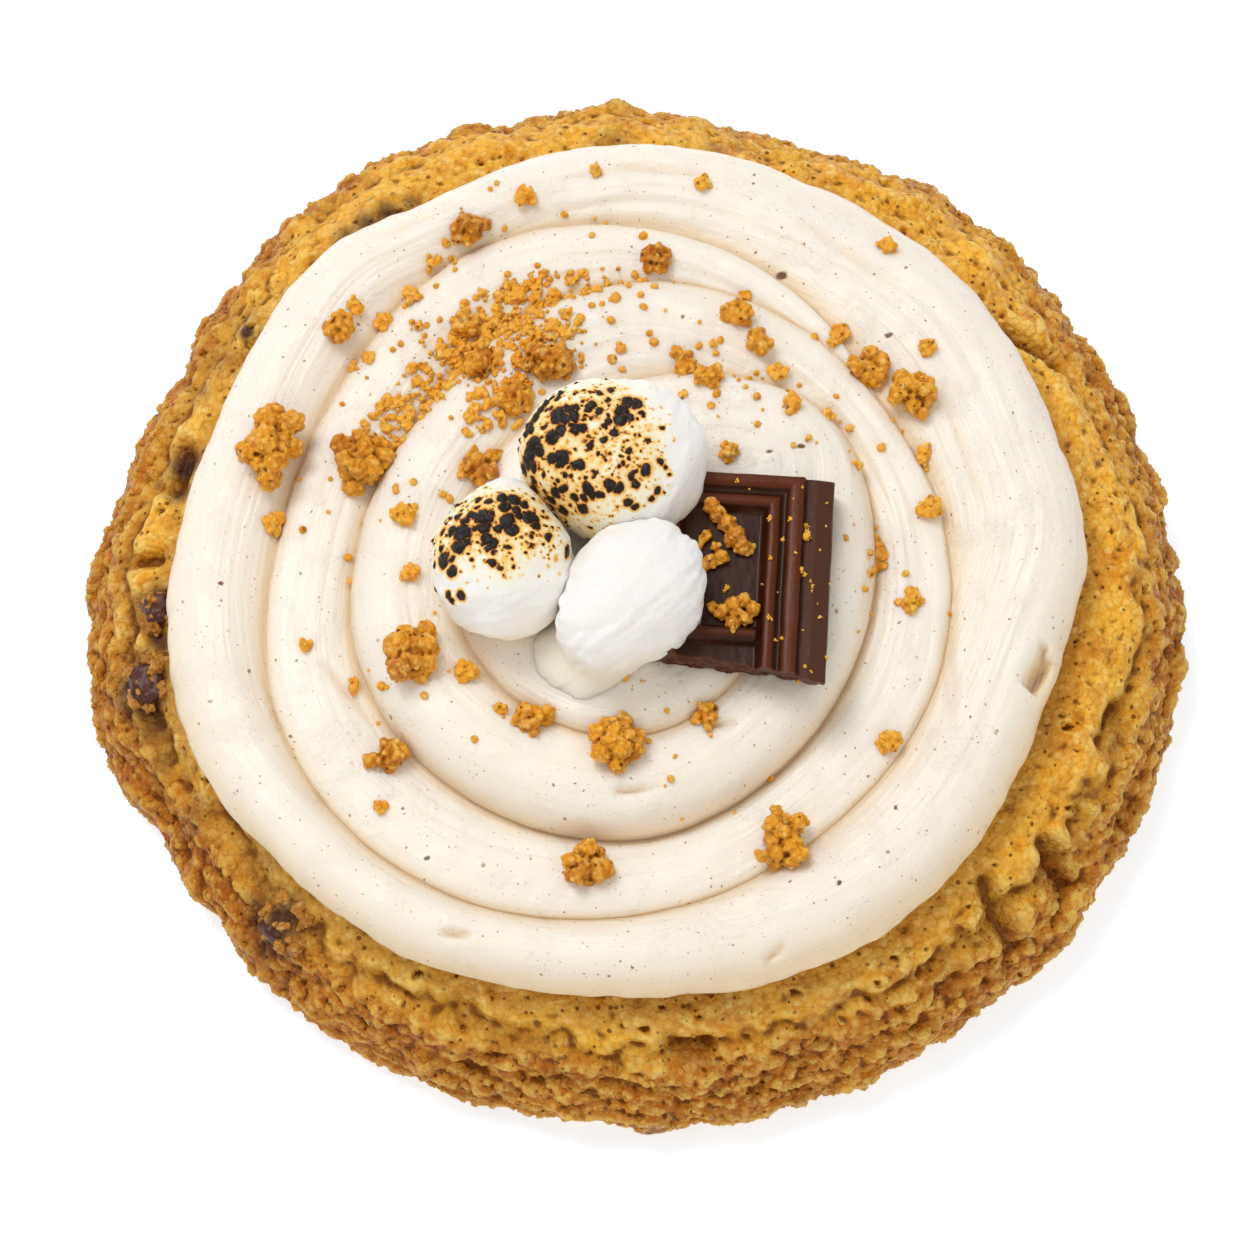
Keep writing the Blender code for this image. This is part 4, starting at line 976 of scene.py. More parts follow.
# Vanilla specks: spacing, size, colour and the pattern's shift.
SPECKS = (
    (1.0, 0.13, (0.38, 0.18, 0.075), 0.0), (2.3, 0.085, (0.27, 0.115, 0.045), 0.37),
    (4.5, 0.070, (0.42, 0.24, 0.11), 0.53), (0.62, 0.15, (0.58, 0.38, 0.22), 0.71),
)
COMB_WIDTH = 0.55
COMB_LENGTH = 0.012
cream = Finish("vanilla_buttercream", (0.95, 0.90, 0.84), Roughness=0.38, Specular_IOR_Level=0.45,
               Subsurface_Weight=0.65, Subsurface_Radius=(1.0, 0.82, 0.60), Subsurface_Scale=0.0020)
cream.coat((0.93, 0.855, 0.77), cream.clouds(9.0, 3.0))
# Painted warm shade in the grooves, dents, lower front edge and the wall under the rope.
cream.coat((0.80, 0.61, 0.36), cream.share("dent"), 0.85)
# Painted warm glow under the crumbs.
cream.coat((0.93, 0.70, 0.36), cream.share("granule_share"), 0.45)
warp = cream.node("ShaderNodeVectorMath", {0: cream.clouds(0.45, output="Color"), "Scale": 0.45 * MM},
                  operation="SCALE")
warped = cream.node("ShaderNodeVectorMath", {0: cream.place, 1: warp.outputs[0]}, operation="ADD").outputs[0]
for spacing, size, colour, shift in SPECKS:
    shifted = cream.node("ShaderNodeMapping", {"Vector": warped, "Location": (shift, shift, shift)})
    from_speck, speck_ranks = cream.dots(spacing, shifted.outputs[0])
    inside = cream.maths("SUBTRACT", cream.maths("MULTIPLY", speck_ranks[0], size), from_speck)
    cream.coat(colour, cream.soft(inside, -0.012, 0.03), 0.9)
cream.coat((0.20, 0.09, 0.035), cream.soft(cream.share("fleck"), 0.25, 0.6))
plan = cream.node("ShaderNodeSeparateXYZ", {0: cream.place}).outputs
combed_place = cream.node("ShaderNodeCombineXYZ", {
    0: cream.maths("MULTIPLY", cream.share("across"), 1.0 / COMB_WIDTH),
    1: cream.maths("MULTIPLY", plan[0], 1.0 / COMB_LENGTH),
    2: cream.maths("MULTIPLY", plan[1], 1.0 / COMB_LENGTH)})
combed = cream.node("ShaderNodeTexNoise", {"Vector": combed_place.outputs[0], "Scale": 1.0, "Detail": 2.0})
torn_share = cream.soft(cream.clouds(4.0), 0.50, 0.66)
roughness = cream.maths("MULTIPLY_ADD", torn_share, 0.9, 0.35)
silky = cream.maths("MULTIPLY", cream.clouds(0.5, 3.0, 0.6), roughness)
cream.seal(cream.maths("ADD", combed.outputs[0], silky), 0.22, 0.95)


def fall_share(points):
    """How thickly fine crumbs lie: an arc behind the marshmallows and a few thin falls."""
    thick = np.zeros(len(points))
    for x, y, spread, amount in CRUMB_FALLS:
        away = np.hypot(points[:, 0] - x, points[:, 1] - y) / spread
        thick = np.maximum(thick, amount * np.exp(-away ** 2))
    return thick


# The grooves, dents, lower front edge and wall that take painted warm shade, and the share of fine crumbs on
# each point.
from_front = ease(0.2, -0.7, np.sin(np.radians(grid_degrees)))
in_groove = np.where(on_ring, 0.0, np.exp(-((grid_shares / 0.11) ** 2)))
in_groove = in_groove + np.exp(-(((1.0 - grid_shares) / 0.10) ** 2))
low_edge = ease(22.9, 19.6, rope[:, 2]) * np.where(on_ring, 0.4 + 0.6 * from_front, 0.0)
painted_shade_share = np.clip(np.maximum(np.maximum(dent / 1.2, 0.95 * in_groove), low_edge), 0.0, 1.0)
fall_values = fall_share(frosting_points + CENTRING)
fall_values[WALLS:] = 0.0
below_rope = len(frosting_points) - len(rope)
# The wall under the rope is given painted shade all over.
frosting = piece_of("frosting_swirl", frosting_points + CENTRING, frosting_faces, cream,
                    dent=np.append(painted_shade_share, np.full(below_rope, 0.9)), granule_share=fall_values,
                    fleck=np.append(fleck, np.zeros(below_rope)))
store_share(frosting, "across", across_values, "CORNER")
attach(frosting, "root")
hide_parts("frosting")

# The crumbs: clods of broken cookie strewn over the frosting, from clods as large as a
# pea down to sugar-sized grains.  Each clod is a cluster of balls crusted with granules and
# fused into one skin, and the fine fall is scattered thickest behind the marshmallows.
CLOD_FLATNESS = 0.78
CLOD_SINK = 0.22
CLOD_RISE = 0.3
CLOD_SWELL = 1.04
LEAST_STREWN = 6.0
HEAPED_CLODS = 150
# Each clod's x, y, width and depth.
CLODS = (
    (-33.5, 7.0, 6.4, 8.6), (-25.1, 5.7, 6.2, 6.2), (-20.2, -13.7, 5.0, 6.2),
    (-1.9, -21.9, 5.2, 5.6), (12.7, -29.8, 5.4, 5.4), (-4.4, -32.1, 4.7, 4.6),
    (25.1, 12.5, 4.9, 4.7), (21.3, 15.3, 4.0, 3.9), (-14.1, 4.6, 4.2, 3.9),
    (-8.2, 15.0, 4.8, 4.3), (-22.4, -22.1, 4.4, 3.3), (-15.6, 29.3, 4.0, 3.1),
    (-9.3, -19.6, 3.9, 3.2), (-14.6, 15.3, 3.5, 3.9), (-11.3, 11.1, 3.3, 3.3),
    (-27.6, 19.1, 2.9, 3.2), (9.1, 20.2, 3.2, 2.7), (11.2, 17.3, 2.7, 3.1),
    (4.2, 15.3, 2.3, 3.4), (6.4, 13.3, 2.7, 2.5), (21.7, -2.7, 1.8, 4.0),
    (1.7, 26.1, 3.1, 3.0), (-15.9, 19.6, 2.9, 2.6), (5.9, -19.2, 2.4, 2.8),
    (-15.2, -15.2, 2.5, 2.2), (26.3, 1.5, 2.6, 2.3), (24.8, -7.4, 2.2, 2.6),
    (22.4, -20.7, 2.5, 2.2), (-33.1, 0.4, 2.1, 2.3), (-10.4, 32.5, 2.2, 2.2),
    (-21.2, -0.3, 2.5, 2.3), (8.2, 5.6, 2.0, 2.0), (23.2, 27.5, 2.0, 1.7),
    (18.6, 18.6, 2.3, 2.4), (6.1, 34.0, 1.8, 1.8), (-3.9, 35.4, 1.3, 1.3),
    (-26.1, 21.4, 1.8, 1.8), (-23.6, 20.3, 2.0, 2.0), (-20.9, 22.8, 1.9, 1.9),
    (26.7, 17.1, 1.8, 1.8), (26.1, 6.9, 1.4, 2.3), (-22.8, -26.8, 1.4, 1.3),
    (-29.8, -11.7, 1.4, 1.3), (12.8, 14.6, 2.3, 1.8), (-25.5, -15.3, 1.1, 1.8),
    (-12.2, -18.6, 1.4, 1.2), (-20.4, -5.9, 2.0, 1.7),
    (14.0, 10.5, 1.6, 2.4), (17.3, 10.4, 1.7, 1.4),
)


def clod_balls(x, y, width, depth, base):
    """Balls (x, y, z, radius) that grow from one another inside a clod's outline."""
    tall = CLOD_FLATNESS * min(width, depth)
    half = np.array((width, depth, tall)) * 0.5
    small = 0.24 * math.sqrt(width * depth) ** 0.75
    count = int(7 + 0.55 * width * depth / small ** 2)
    balls = [(0.0, 0.0, 0.0, small)]
    for _ in range(20 * count):
        radius = small * chance.uniform(0.62, 1.15)
        near = chance.choice(balls)
        way = Vector((chance.gauss(0.0, 1.0), chance.gauss(0.0, 1.0), chance.gauss(0.0, 0.8))).normalized()
        centre = np.array(near[:3]) + np.array(way) * 0.75 * (radius + near[3])
        if np.linalg.norm(centre / np.maximum(half - 0.75 * radius, 0.05)) < 1.0:
            balls.append((*centre, radius))
        if len(balls) >= count:
            break
    grown = np.array(balls)
    low = (grown[:, :2] - grown[:, 3:]).min(axis=0)
    high = (grown[:, :2] + grown[:, 3:]).max(axis=0)
    grown[:, :2] = (grown[:, :2] - 0.5 * (low + high)) * np.array((width, depth)) / (high - low)
    level = base + (0.5 - CLOD_SINK) * tall
    return [(x + right, y + back, level + up, radius) for right, back, up, radius in grown.tolist()]


frosting_tree = BVHTree.FromObject(frosting, bpy.context.evaluated_depsgraph_get())
crumb_finish = dough_finish("cookie_crumb", pale=(1.0, 0.64, 0.15), golden=(0.84, 0.36, 0.018),
                            brown=(0.54, 0.165, 0.006), deep=(0.16, 0.034, 0.003),
                            dust=(0.56, 0.26, 0.06), depth_of_glow=0.3)
fall_finish = dough_finish("cookie_crumb_fall", pale=(1.0, 0.64, 0.15), golden=(0.96, 0.46, 0.035),
                           brown=(0.88, 0.34, 0.020), deep=(0.50, 0.15, 0.008),
                           dust=(0.84, 0.44, 0.13), depth_of_glow=0.12)
strewn, heaped = [], []
for x, y, width, depth in CLODS:
    place_x, place_y = x + CENTRING[0], y + CENTRING[1] + CLOD_RISE
    level = height_under(frosting_tree, place_x, place_y)
    balls = clod_balls(place_x, place_y, CLOD_SWELL * width, CLOD_SWELL * depth, level)
    (strewn if width * depth > LEAST_STREWN else heaped).extend(balls)
placed = 0
while placed < HEAPED_CLODS:
    x, y = chance.uniform(-29.0, 14.0), chance.uniform(3.0, 27.0)
    if chance.random() < fall_share(np.array([(x, y, 0.0)]))[0] ** 1.4:
        size = chance.uniform(0.6, 1.4)
        depth = size * chance.uniform(0.75, 1.25)
        heaped.extend(clod_balls(x, y, size, depth, height_under(frosting_tree, x, y)))
        placed += 1
crumbs = fused_heap("cookie_crumbs", strewn, crumb_finish, smallest=0.22, largest=0.42, spacing=0.56,
                    lift=-0.08)
small_crumbs = fused_heap("small_crumbs", heaped, fall_finish, smallest=0.15, largest=0.30, spacing=0.42,
                          lift=-0.04, detail=0.12, seed=11)
fine_crumbs = stick_granules(frosting, "fine_crumbs", fall_finish, spacing=0.42, most=12.0, smallest=0.12,
                             largest=0.46, lift=0.08, lumpiness=0.30, roundness=2, seed=23)
for piece in (crumbs, small_crumbs, fine_crumbs):
    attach(piece, "root")
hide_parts("frosting")

# The marshmallows: three soft pillows of whipped sugar, two of them flame-toasted so that
# their skins blistered black and amber, the third melting over the frosting.  Each is a
# ball pressed into a rounded barrel, with wrinkles and burnt patches worked on its skin.
MARSHMALLOW_ROUNDNESS = 2.5
MARSHMALLOWS = {
    "marshmallow_back": {
        "place": (-2.2, 2.7, 31.0), "half_height": 6.5,
        "outline": (8.4, 8.5, 7.6, 8.4, 8.5, 7.2, 7.4, 7.8),
        "columns": 360, "rows": 190, "crease_turn": 70.0, "toast": (-2.4, -0.6, 8.6, 8.4),
        # Burnt patches: place on the skin from the pillow's middle, and radius.
        "burns": (
            (-7.2, 0.1, 4.3, 0.6), (-6.7, -0.6, 4.5, 0.5), (-7.5, -0.6, 3.6, 0.65), (-7.7, -1.0, 2.9, 0.6),
            (-8.0, -1.3, 1.7, 0.5), (-7.2, -1.9, 3.4, 0.35), (-7.0, 2.8, 3.8, 0.5), (-7.5, 2.1, 3.6, 0.5),
            (-7.8, 1.6, 3.3, 0.4), (-6.5, 3.5, 3.9, 0.4), (-6.1, 4.1, 4.0, 0.4), (-5.5, 4.6, 4.0, 0.27),
            (-4.7, 4.9, 4.5, 0.3), (-4.9, 2.5, 5.5, 0.7), (-4.2, 2.9, 5.8, 0.4), (-4.3, 1.9, 5.8, 0.4),
            (-5.5, 0.3, 5.4, 0.55), (-4.7, 0.9, 5.7, 0.45), (-3.5, 2.2, 6.0, 0.45), (-3.4, 3.1, 5.9, 0.26),
            (-3.4, 0.8, 6.1, 0.4), (-2.8, 0.9, 6.3, 0.35), (-4.6, -1.7, 5.5, 0.6), (-5.5, -1.6, 5.0, 0.45),
            (-3.0, -2.5, 5.9, 0.42), (-6.9, -2.8, 1.0, 0.5), (-7.1, -2.6, 2.4, 0.4), (-6.6, -3.0, -0.4, 0.35),
            (-5.2, -4.3, 3.3, 0.45), (-5.6, -4.4, 2.2, 0.35), (-4.3, -4.0, 4.4, 0.3), (-3.5, -5.0, 4.1, 0.32),
            (-4.5, -5.3, 1.9, 0.45), (-2.7, -5.8, 3.6, 0.45), (-2.2, -4.7, 5.2, 0.48), (-1.2, -5.1, 5.2, 0.3),
            (-0.3, -4.4, 5.7, 0.42), (0.4, -4.6, 5.5, 0.42), (1.3, 3.4, 6.1, 0.52), (2.0, 3.3, 6.1, 0.45),
            (0.8, 2.5, 6.3, 0.5), (0.6, 1.6, 6.4, 0.45), (-2.2, 3.0, 6.2, 0.3), (-1.2, 2.5, 6.4, 0.3),
            (-0.8, 1.0, 6.4, 0.25), (-6.1, 1.6, 5.0, 0.25), (2.9, -3.0, 5.8, 0.45), (1.6, -3.6, 5.8, 0.3),
            (1.3, -5.7, 4.7, 0.3), (2.0, -5.9, 4.2, 0.28), (3.9, -4.6, 4.7, 0.25), (3.5, -5.2, 4.4, 0.25),
        ),
    },
    "marshmallow_left": {
        "place": (-11.9, -6.5, 30.3), "half_height": 6.0,
        "outline": (6.5, 6.3, 7.5, 6.5, 6.6, 6.8, 7.0, 6.6),
        "columns": 340, "rows": 180, "crease_turn": 20.0, "toast": (-0.9, 1.4, 8.2, 5.6),
        "burns": (
            (-3.5, 0.7, 5.3, 0.75), (-3.9, -0.3, 5.2, 0.6), (-3.2, 0.0, 5.4, 0.45), (-1.5, 2.1, 5.8, 0.65),
            (-1.5, 1.3, 5.9, 0.55), (-1.0, 2.4, 5.9, 0.3), (0.5, 1.8, 5.9, 0.6), (0.9, 0.9, 5.9, 0.5),
            (2.6, 2.3, 5.4, 0.6), (3.0, 1.5, 5.4, 0.4), (0.0, 4.1, 5.4, 0.42), (0.2, 3.2, 5.7, 0.42),
            (1.0, 4.0, 5.3, 0.45), (-1.3, 3.8, 5.4, 0.3), (-2.2, 4.1, 4.9, 0.25), (-1.4, 0.1, 5.8, 0.45),
            (-0.6, -0.2, 5.9, 0.3), (-0.3, 1.0, 5.9, 0.3), (1.5, 2.3, 5.7, 0.3), (-5.3, -1.3, 4.0, 0.57),
            (-4.4, -2.6, 4.5, 0.43), (-3.4, 2.0, 5.2, 0.36), (-2.6, 2.4, 5.5, 0.3), (-4.5, 1.4, 4.6, 0.33),
            (-5.5, -0.1, 3.8, 0.3), (-4.4, -1.5, 4.7, 0.3), (-4.7, -4.1, 2.9, 0.3), (-4.4, -4.5, 2.7, 0.33),
            (-3.6, -4.5, 3.8, 0.34), (4.1, 0.5, 5.1, 0.36), (5.8, -0.2, 3.1, 0.4), (-6.0, -1.1, 2.6, 0.26),
            (-6.0, -2.6, 0.2, 0.26),
        ),
    },
    "marshmallow_front": {
        "place": (-0.3, -9.6, 30.8), "half_height": 6.3,
        "outline": (6.4, 6.8, 6.4, 6.3, 6.2, 8.4, 6.2, 5.9),
        "columns": 340, "rows": 200, "crease_turn": 42.0, "toast": None, "burns": (),
    },
}
# Balls that melt into the front marshmallow: middle and half size.
MELTED_FOOT = ((-5.2, -13.6, 25.7), (4.5, 3.6, 1.9))
MELTED_DRIP = ((-4.6, -16.1, 25.2), (1.0, 0.9, 0.9))
MELTED_BLEND = 2.2
# Small toasted spots: spacing, largest size and the pattern's shift.
SPOTS = ((1.15, 0.44, 3.0), (0.66, 0.24, 11.0), (0.45, 0.17, 19.0))
# Browning towards a burn: where a colour starts, where it is full, and the colour.
TOAST_COLOURS = (
    (1.5, 0.30, (0.95, 0.60, 0.14)), (0.52, 0.08, (0.66, 0.22, 0.02)),
    (0.28, 0.04, (0.11, 0.026, 0.005)), (0.08, -0.10, (0.010, 0.006, 0.005)),
)


def round_grid(columns, rows):
    """Directions and faces of a ball laid out in columns and rows, poles included."""
    tilt = np.tile(np.pi * np.arange(1, rows) / rows, columns)
    spin = np.repeat(2.0 * np.pi * np.arange(columns) / columns, rows - 1)
    directions = on_turn(np.sin(tilt), spin, np.cos(tilt))
    directions = np.concatenate((directions, [(0.0, 0.0, 1.0), (0.0, 0.0, -1.0)]))
    return directions, capped_faces(columns, rows - 1, len(directions) - 2, len(directions) - 1)


def melted_reach(directions, reach, start):
    """How far the skin lies from the pillow's middle once the foot and drip run into it."""
    found = np.array(reach)
    open_rays = np.ones(len(directions), bool)
    last_field = np.full(len(directions), 9.0)
    step = 0.12
    for away in np.arange(15.0, 3.0, -step):
        field = away - reach
        for centre, size in (MELTED_FOOT, MELTED_DRIP):
            offset = (directions * away + start - np.array(centre)) / size
            blob = (np.linalg.norm(offset, axis=1) - 1.0) * min(size)
            overlap = np.clip(0.5 + 0.5 * (blob - field) / MELTED_BLEND, 0.0, 1.0)
            field = blob + (field - blob) * overlap - MELTED_BLEND * overlap * (1.0 - overlap)
        met = open_rays & (field < 0.0)
        share = np.clip(field / np.minimum(field - last_field, -1e-6), 0.0, 1.0)
        found[met] = away + step * share[met]
        open_rays &= ~met
        last_field = field
    return found


def scorch(skin, form, strength):
    """How far from burnt the skin is: below 0 it is burnt, above 1 it is untouched."""
    wavy = skin + 0.20 * shaking(skin, 0.9, (7.0, 23.0, 51.0))
    wavy += 0.09 * shaking(skin, 0.35, (3.0, 29.0, 57.0))
    nearest, second = np.full(len(skin), 3.0), np.full(len(skin), 3.0)
    for x, y, z, size in form["burns"]:
        away = np.linalg.norm(wavy - np.array(form["place"]) - (x, y, z), axis=1)
        away = (away - 1.2 * size) / (0.10 + 0.6 * size)
        second = np.minimum(second, np.maximum(nearest, away))
        nearest = np.minimum(nearest, away)
    seams = np.minimum(0.30 - 1.6 * (second - nearest), 0.30)
    nearest = np.maximum(nearest, seams)
    toasted = np.flatnonzero(strength > 0.02)
    for cell_size, largest, shift in SPOTS:
        least = 0.10 if cell_size < 0.5 else -9.0
        for index, spot in zip(toasted, (wavy[toasted] / cell_size + shift).tolist()):
            distances, middles = noise.voronoi(spot)
            rank = abs(noise.noise(middles[0] * 3.7)) * 1.9
            size = largest * min(0.35 + rank, 1.1) * (0.25 + 0.85 * strength[index]) - 0.08
            if rank > 0.07 and size > 0.0:
                away = (distances[0] * cell_size - size) / (0.10 + 0.6 * size)
                gap = 0.07 - 0.5 * (distances[1] - distances[0]) * cell_size
                nearest[index] = min(nearest[index], max(away, min(gap * 4.0, 0.4), least))
    return nearest


skin_finish = Finish("marshmallow_skin", (0.999, 0.988, 0.965), Roughness=0.55, Specular_IOR_Level=0.3,
                     Subsurface_Weight=0.75, Subsurface_Radius=(1.0, 0.80, 0.60), Subsurface_Scale=0.0020)
fray = skin_finish.maths("SUBTRACT", skin_finish.clouds(0.22, 3.0, 0.6), 0.5)
fray = skin_finish.maths("MULTIPLY", fray, 0.7)
burnt_field = skin_finish.maths("ADD", skin_finish.share("burnt"), fray)
mottle = skin_finish.clouds(3.0, 3.0)
skin_finish.coat((0.99, 0.97, 0.94), mottle)
# Painted warm shade on the pillows' lower fronts.
skin_finish.coat((0.93, 0.77, 0.54), skin_finish.share("low"), 0.8)
warm = skin_finish.maths("MULTIPLY", skin_finish.share("toast"), skin_finish.soft(mottle, 0.15, 0.6))
skin_finish.coat((0.96, 0.76, 0.40), warm, 0.75)
for outer_edge, inner_edge, colour in TOAST_COLOURS:
    skin_finish.coat(colour, skin_finish.soft(burnt_field, outer_edge, inner_edge))
crisp = skin_finish.soft(burnt_field, 0.1, -0.3)
puckers = skin_finish.maths("ADD", skin_finish.clouds(0.45, 4.0, 0.6), skin_finish.clouds(1.1))
skin_finish.seal(puckers, 0.16, 0.7, roughness=skin_finish.spread(crisp, 0.0, 1.0, 0.58, 0.40))

for name, form in MARSHMALLOWS.items():
    directions, skin_faces = round_grid(form["columns"], form["rows"])
    spin_degrees = np.degrees(np.arctan2(directions[:, 1], directions[:, 0]))
    power = 2.0 / MARSHMALLOW_ROUNDNESS
    level = np.hypot(directions[:, 0], directions[:, 1])
    spread = around(form["outline"], spin_degrees) * level ** power
    rise = np.copysign(np.abs(directions[:, 2]) ** power, directions[:, 2]) * form["half_height"]
    pillow = on_turn(spread, np.radians(spin_degrees), rise)
    place = np.array(form["place"])
    pillow *= (1.0 + 0.035 * lumps(pillow + 3.5 * place, 3.5))[:, None]
    if name == "marshmallow_front":
        reach = np.linalg.norm(pillow, axis=1)
        outward = pillow / reach[:, None]
        pillow = outward * melted_reach(outward, reach, place)[:, None]
    crease = math.radians(form["crease_turn"])
    along_crease = pillow @ (math.cos(crease), math.sin(crease), 0.3)
    over_crease = pillow @ (-math.sin(crease), math.cos(crease), 0.5)
    creased = np.stack((over_crease, along_crease, pillow[:, 2]), axis=1)
    folds = lumps(creased / (1.9, 5.5, 5.0) + place, 1.0)
    fine_folds = lumps(creased / (0.75, 2.2, 2.0) + place, 1.0)
    skin = pillow + place
    strength = np.zeros(len(skin))
    if form["toast"]:
        x, y, half_width, half_depth = form["toast"]
        away = np.hypot((pillow[:, 0] - x) / half_width, (pillow[:, 1] - y) / half_depth)
        strength = ease(1.15, 0.45, away + 0.14 * lumps(skin, 2.5)) * ease(-3.5, 0.5, pillow[:, 2])
    burnt = scorch(skin, form, strength)
    wrinkled = ease(0.6, 0.0, strength) * ease(form["half_height"] + 2.5, 2.0, pillow[:, 2])
    rumple = 0.20 * (1.0 if form["toast"] else 1.7)
    puff = 0.42 * folds * (0.2 + 0.8 * wrinkled) + rumple * fine_folds * wrinkled + 0.06 * lumps(skin, 0.7)
    puff += 0.14 * ease(0.1, -0.5, burnt) * (1.0 + 1.1 * lumps(skin, 0.5)) - 0.18
    puff -= 0.05 * np.exp(-(((burnt - 0.1) / 0.2) ** 2))
    # Where the painted warm shade lies: low on the pillow and towards its front.
    low = ease(2.5, -4.0, pillow[:, 2]) * ease(0.2, -0.7, pillow[:, 1] / form["half_height"])
    low *= 1.0 if form["toast"] else 0.5
    skin = skin + directions * puff[:, None] + CENTRING
    pillow = piece_of(name + "_skin", skin, skin_faces, skin_finish, burnt=burnt, toast=strength, low=low)
    keep_in_size(pillow)
    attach(pillow, "root")
    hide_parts(name)

# The chocolate: one segment snapped off a moulded bar, with two rounded rails round a sunk
# panel, a lower flange on its right and a rough broken edge at the front.  A strip runs
# up its back, over its top and down its front for each step across the segment.
CHOCOLATE_CENTRE = (8.7, -7.7)
CHOCOLATE_TURN = -3.5
CHOCOLATE_WIDTH = 16.6
CHOCOLATE_LENGTH = 20.0
CHOCOLATE_BASE = 25.2
CHOCOLATE_TOP = 30.0
FLANGE_WIDTH = 2.75
FLANGE_DROP = 0.7
FRONT_RAIL = (-5.9, -4.3)
FRONT_RAIL_END = 2.6
# Height of the frame below the top at every 0.3 mm in from its edge: rail, groove, rail, panel.
FRAME_SECTION = (-0.08, 0.0, 0.0, -0.03, -0.16, -0.52, -0.52,
                 -0.22, -0.12, -0.12, -0.26, -0.72, -1.02, -1.05)
FRAME_STEP = 0.3
# The broken edge seen from above, from left to right.
SNAPPED_EDGE = ((-9.0, -6.9), (-1.9, -7.3), (2.4, -8.1), (4.0, -8.5), (5.6, -8.8), (9.0, -9.2))
SNAP_UNDERCUT = 1.1
CHOCOLATE_COLUMNS = 190
BACK_ROWS = 7
TOP_ROWS = 200
WALL_ROWS = 26
MOULD_ROUNDING = 0.28

block_depth = CHOCOLATE_TOP - CHOCOLATE_BASE
half_width = CHOCOLATE_WIDTH / 2.0
rail_edge = half_width - FLANGE_WIDTH
columns_x = np.linspace(-half_width, half_width, CHOCOLATE_COLUMNS)
back_y = CHOCOLATE_LENGTH / 2.0


def rounded_drop(from_edge, size=MOULD_ROUNDING):
    """How far a rounded mould edge falls at a distance in from it."""
    left = np.clip(size - from_edge, 0.0, size)
    return size - np.sqrt(size ** 2 - left ** 2)


def moulded_height(x, y):
    """Height of the moulded top below CHOCOLATE_TOP."""
    side_inset = np.minimum(x + half_width, rail_edge - x)
    inset = np.minimum(side_inset, back_y - y)
    framed = along(FRAME_SECTION, inset / FRAME_STEP)
    across_rail = (y - FRONT_RAIL[0]) / (FRONT_RAIL[1] - FRONT_RAIL[0])
    arch = np.clip(1.0 - np.abs(2.0 * across_rail - 1.0) ** 2.6, 0.0, 1.0) ** 0.8
    front_rail = -1.05 + 0.86 * arch * ease(FRONT_RAIL_END, FRONT_RAIL_END - 0.8, x)
    framed = np.maximum(framed, np.where(inset > 1.8, front_rail, -9.0))
    framed -= 0.35 * ease(FRONT_RAIL[0] + 0.2, FRONT_RAIL[0] - 0.1, y) * ease(-0.5, -1.0, framed)
    outward = (x - rail_edge) / FLANGE_WIDTH
    flange = -FLANGE_DROP - 0.22 * np.clip((outward - 0.45) / 0.55, 0.0, 1.0)
    step_down = -FLANGE_DROP * ease(0.0, 0.10, outward) - 0.08
    height = np.where(x > rail_edge, np.maximum(flange, step_down), framed)
    height = np.where(outward > 0.10, flange, height)
    return height - rounded_drop(back_y - y) - rounded_drop(half_width - x)


def ragged_line(x, size, shift):
    """Random swell along a line, with lumps of a size in millimetres."""
    return lumps(np.stack((x / size, x * 0.0 + shift, x * 0.0), axis=1), 1.0)


snap_line = np.interp(columns_x, [x for x, y in SNAPPED_EDGE], [y for x, y in SNAPPED_EDGE])
snap_line = snap_line + 0.22 * ragged_line(columns_x, 1.6, 0.0) + 0.10 * ragged_line(columns_x, 0.5, 4.0)
strips, worn_strips = [], []
down = np.linspace(0.0, 1.0, WALL_ROWS)[1:]
for x, snap_y in zip(columns_x, snap_line):
    top_y = np.linspace(back_y, snap_y, TOP_ROWS)
    top_z = moulded_height(np.full(TOP_ROWS, x), top_y)
    back_z = -block_depth + (top_z[0] + block_depth) * np.linspace(0.0, 1.0, BACK_ROWS + 1)[:-1]
    front_z = top_z[-1] - (top_z[-1] + block_depth) * down
    shift = SNAP_UNDERCUT * float(ease(-3.0, 5.0, x)) * (front_z / -block_depth)
    place = np.stack((np.full(len(down), x), front_z, np.zeros(len(down))), axis=1)
    rough = 0.30 * lumps(place, (1.9, 1.5, 1.0)) + 0.15 * lumps(place + 20.0, 0.7) + 0.06 * lumps(place, 0.25)
    rough *= np.minimum(down / 0.1, 1.0)
    strip_y = np.concatenate((np.full(BACK_ROWS, back_y), top_y, snap_y + shift + rough))
    strip_z = np.concatenate((back_z, top_z, front_z))
    strips.append(np.stack((np.full(len(strip_y), x), strip_y, strip_z), axis=1))
    # The rails' crests take a painted highlight; the back, the snapped lip and the broken front are worn.
    crest = ease(-0.34, -0.10, top_z) * (x < rail_edge)
    lip = ease(0.22, 0.0, top_y - snap_y)
    worn_strips.extend((np.full(BACK_ROWS, 0.3), np.maximum(crest, lip), np.full(len(down), 0.62)))
strip_rows = len(strips[0])
block_points = np.concatenate(strips)
block_points[:, 2] += lumpy(block_points, (0.03, 2.2), (0.012, 0.5))
block_points[:, :2] += 0.05 * shaking(block_points, 2.5, (5.0, 45.0))
block_faces = []
for column in range(CHOCOLATE_COLUMNS - 1):
    here, after = column * strip_rows, (column + 1) * strip_rows
    block_faces.extend((here + row, after + row, after + row + 1, here + row + 1)
                       for row in range(strip_rows - 1))
    block_faces.append((here + strip_rows - 1, after + strip_rows - 1, after, here))
block_faces.append(tuple(range(strip_rows)))
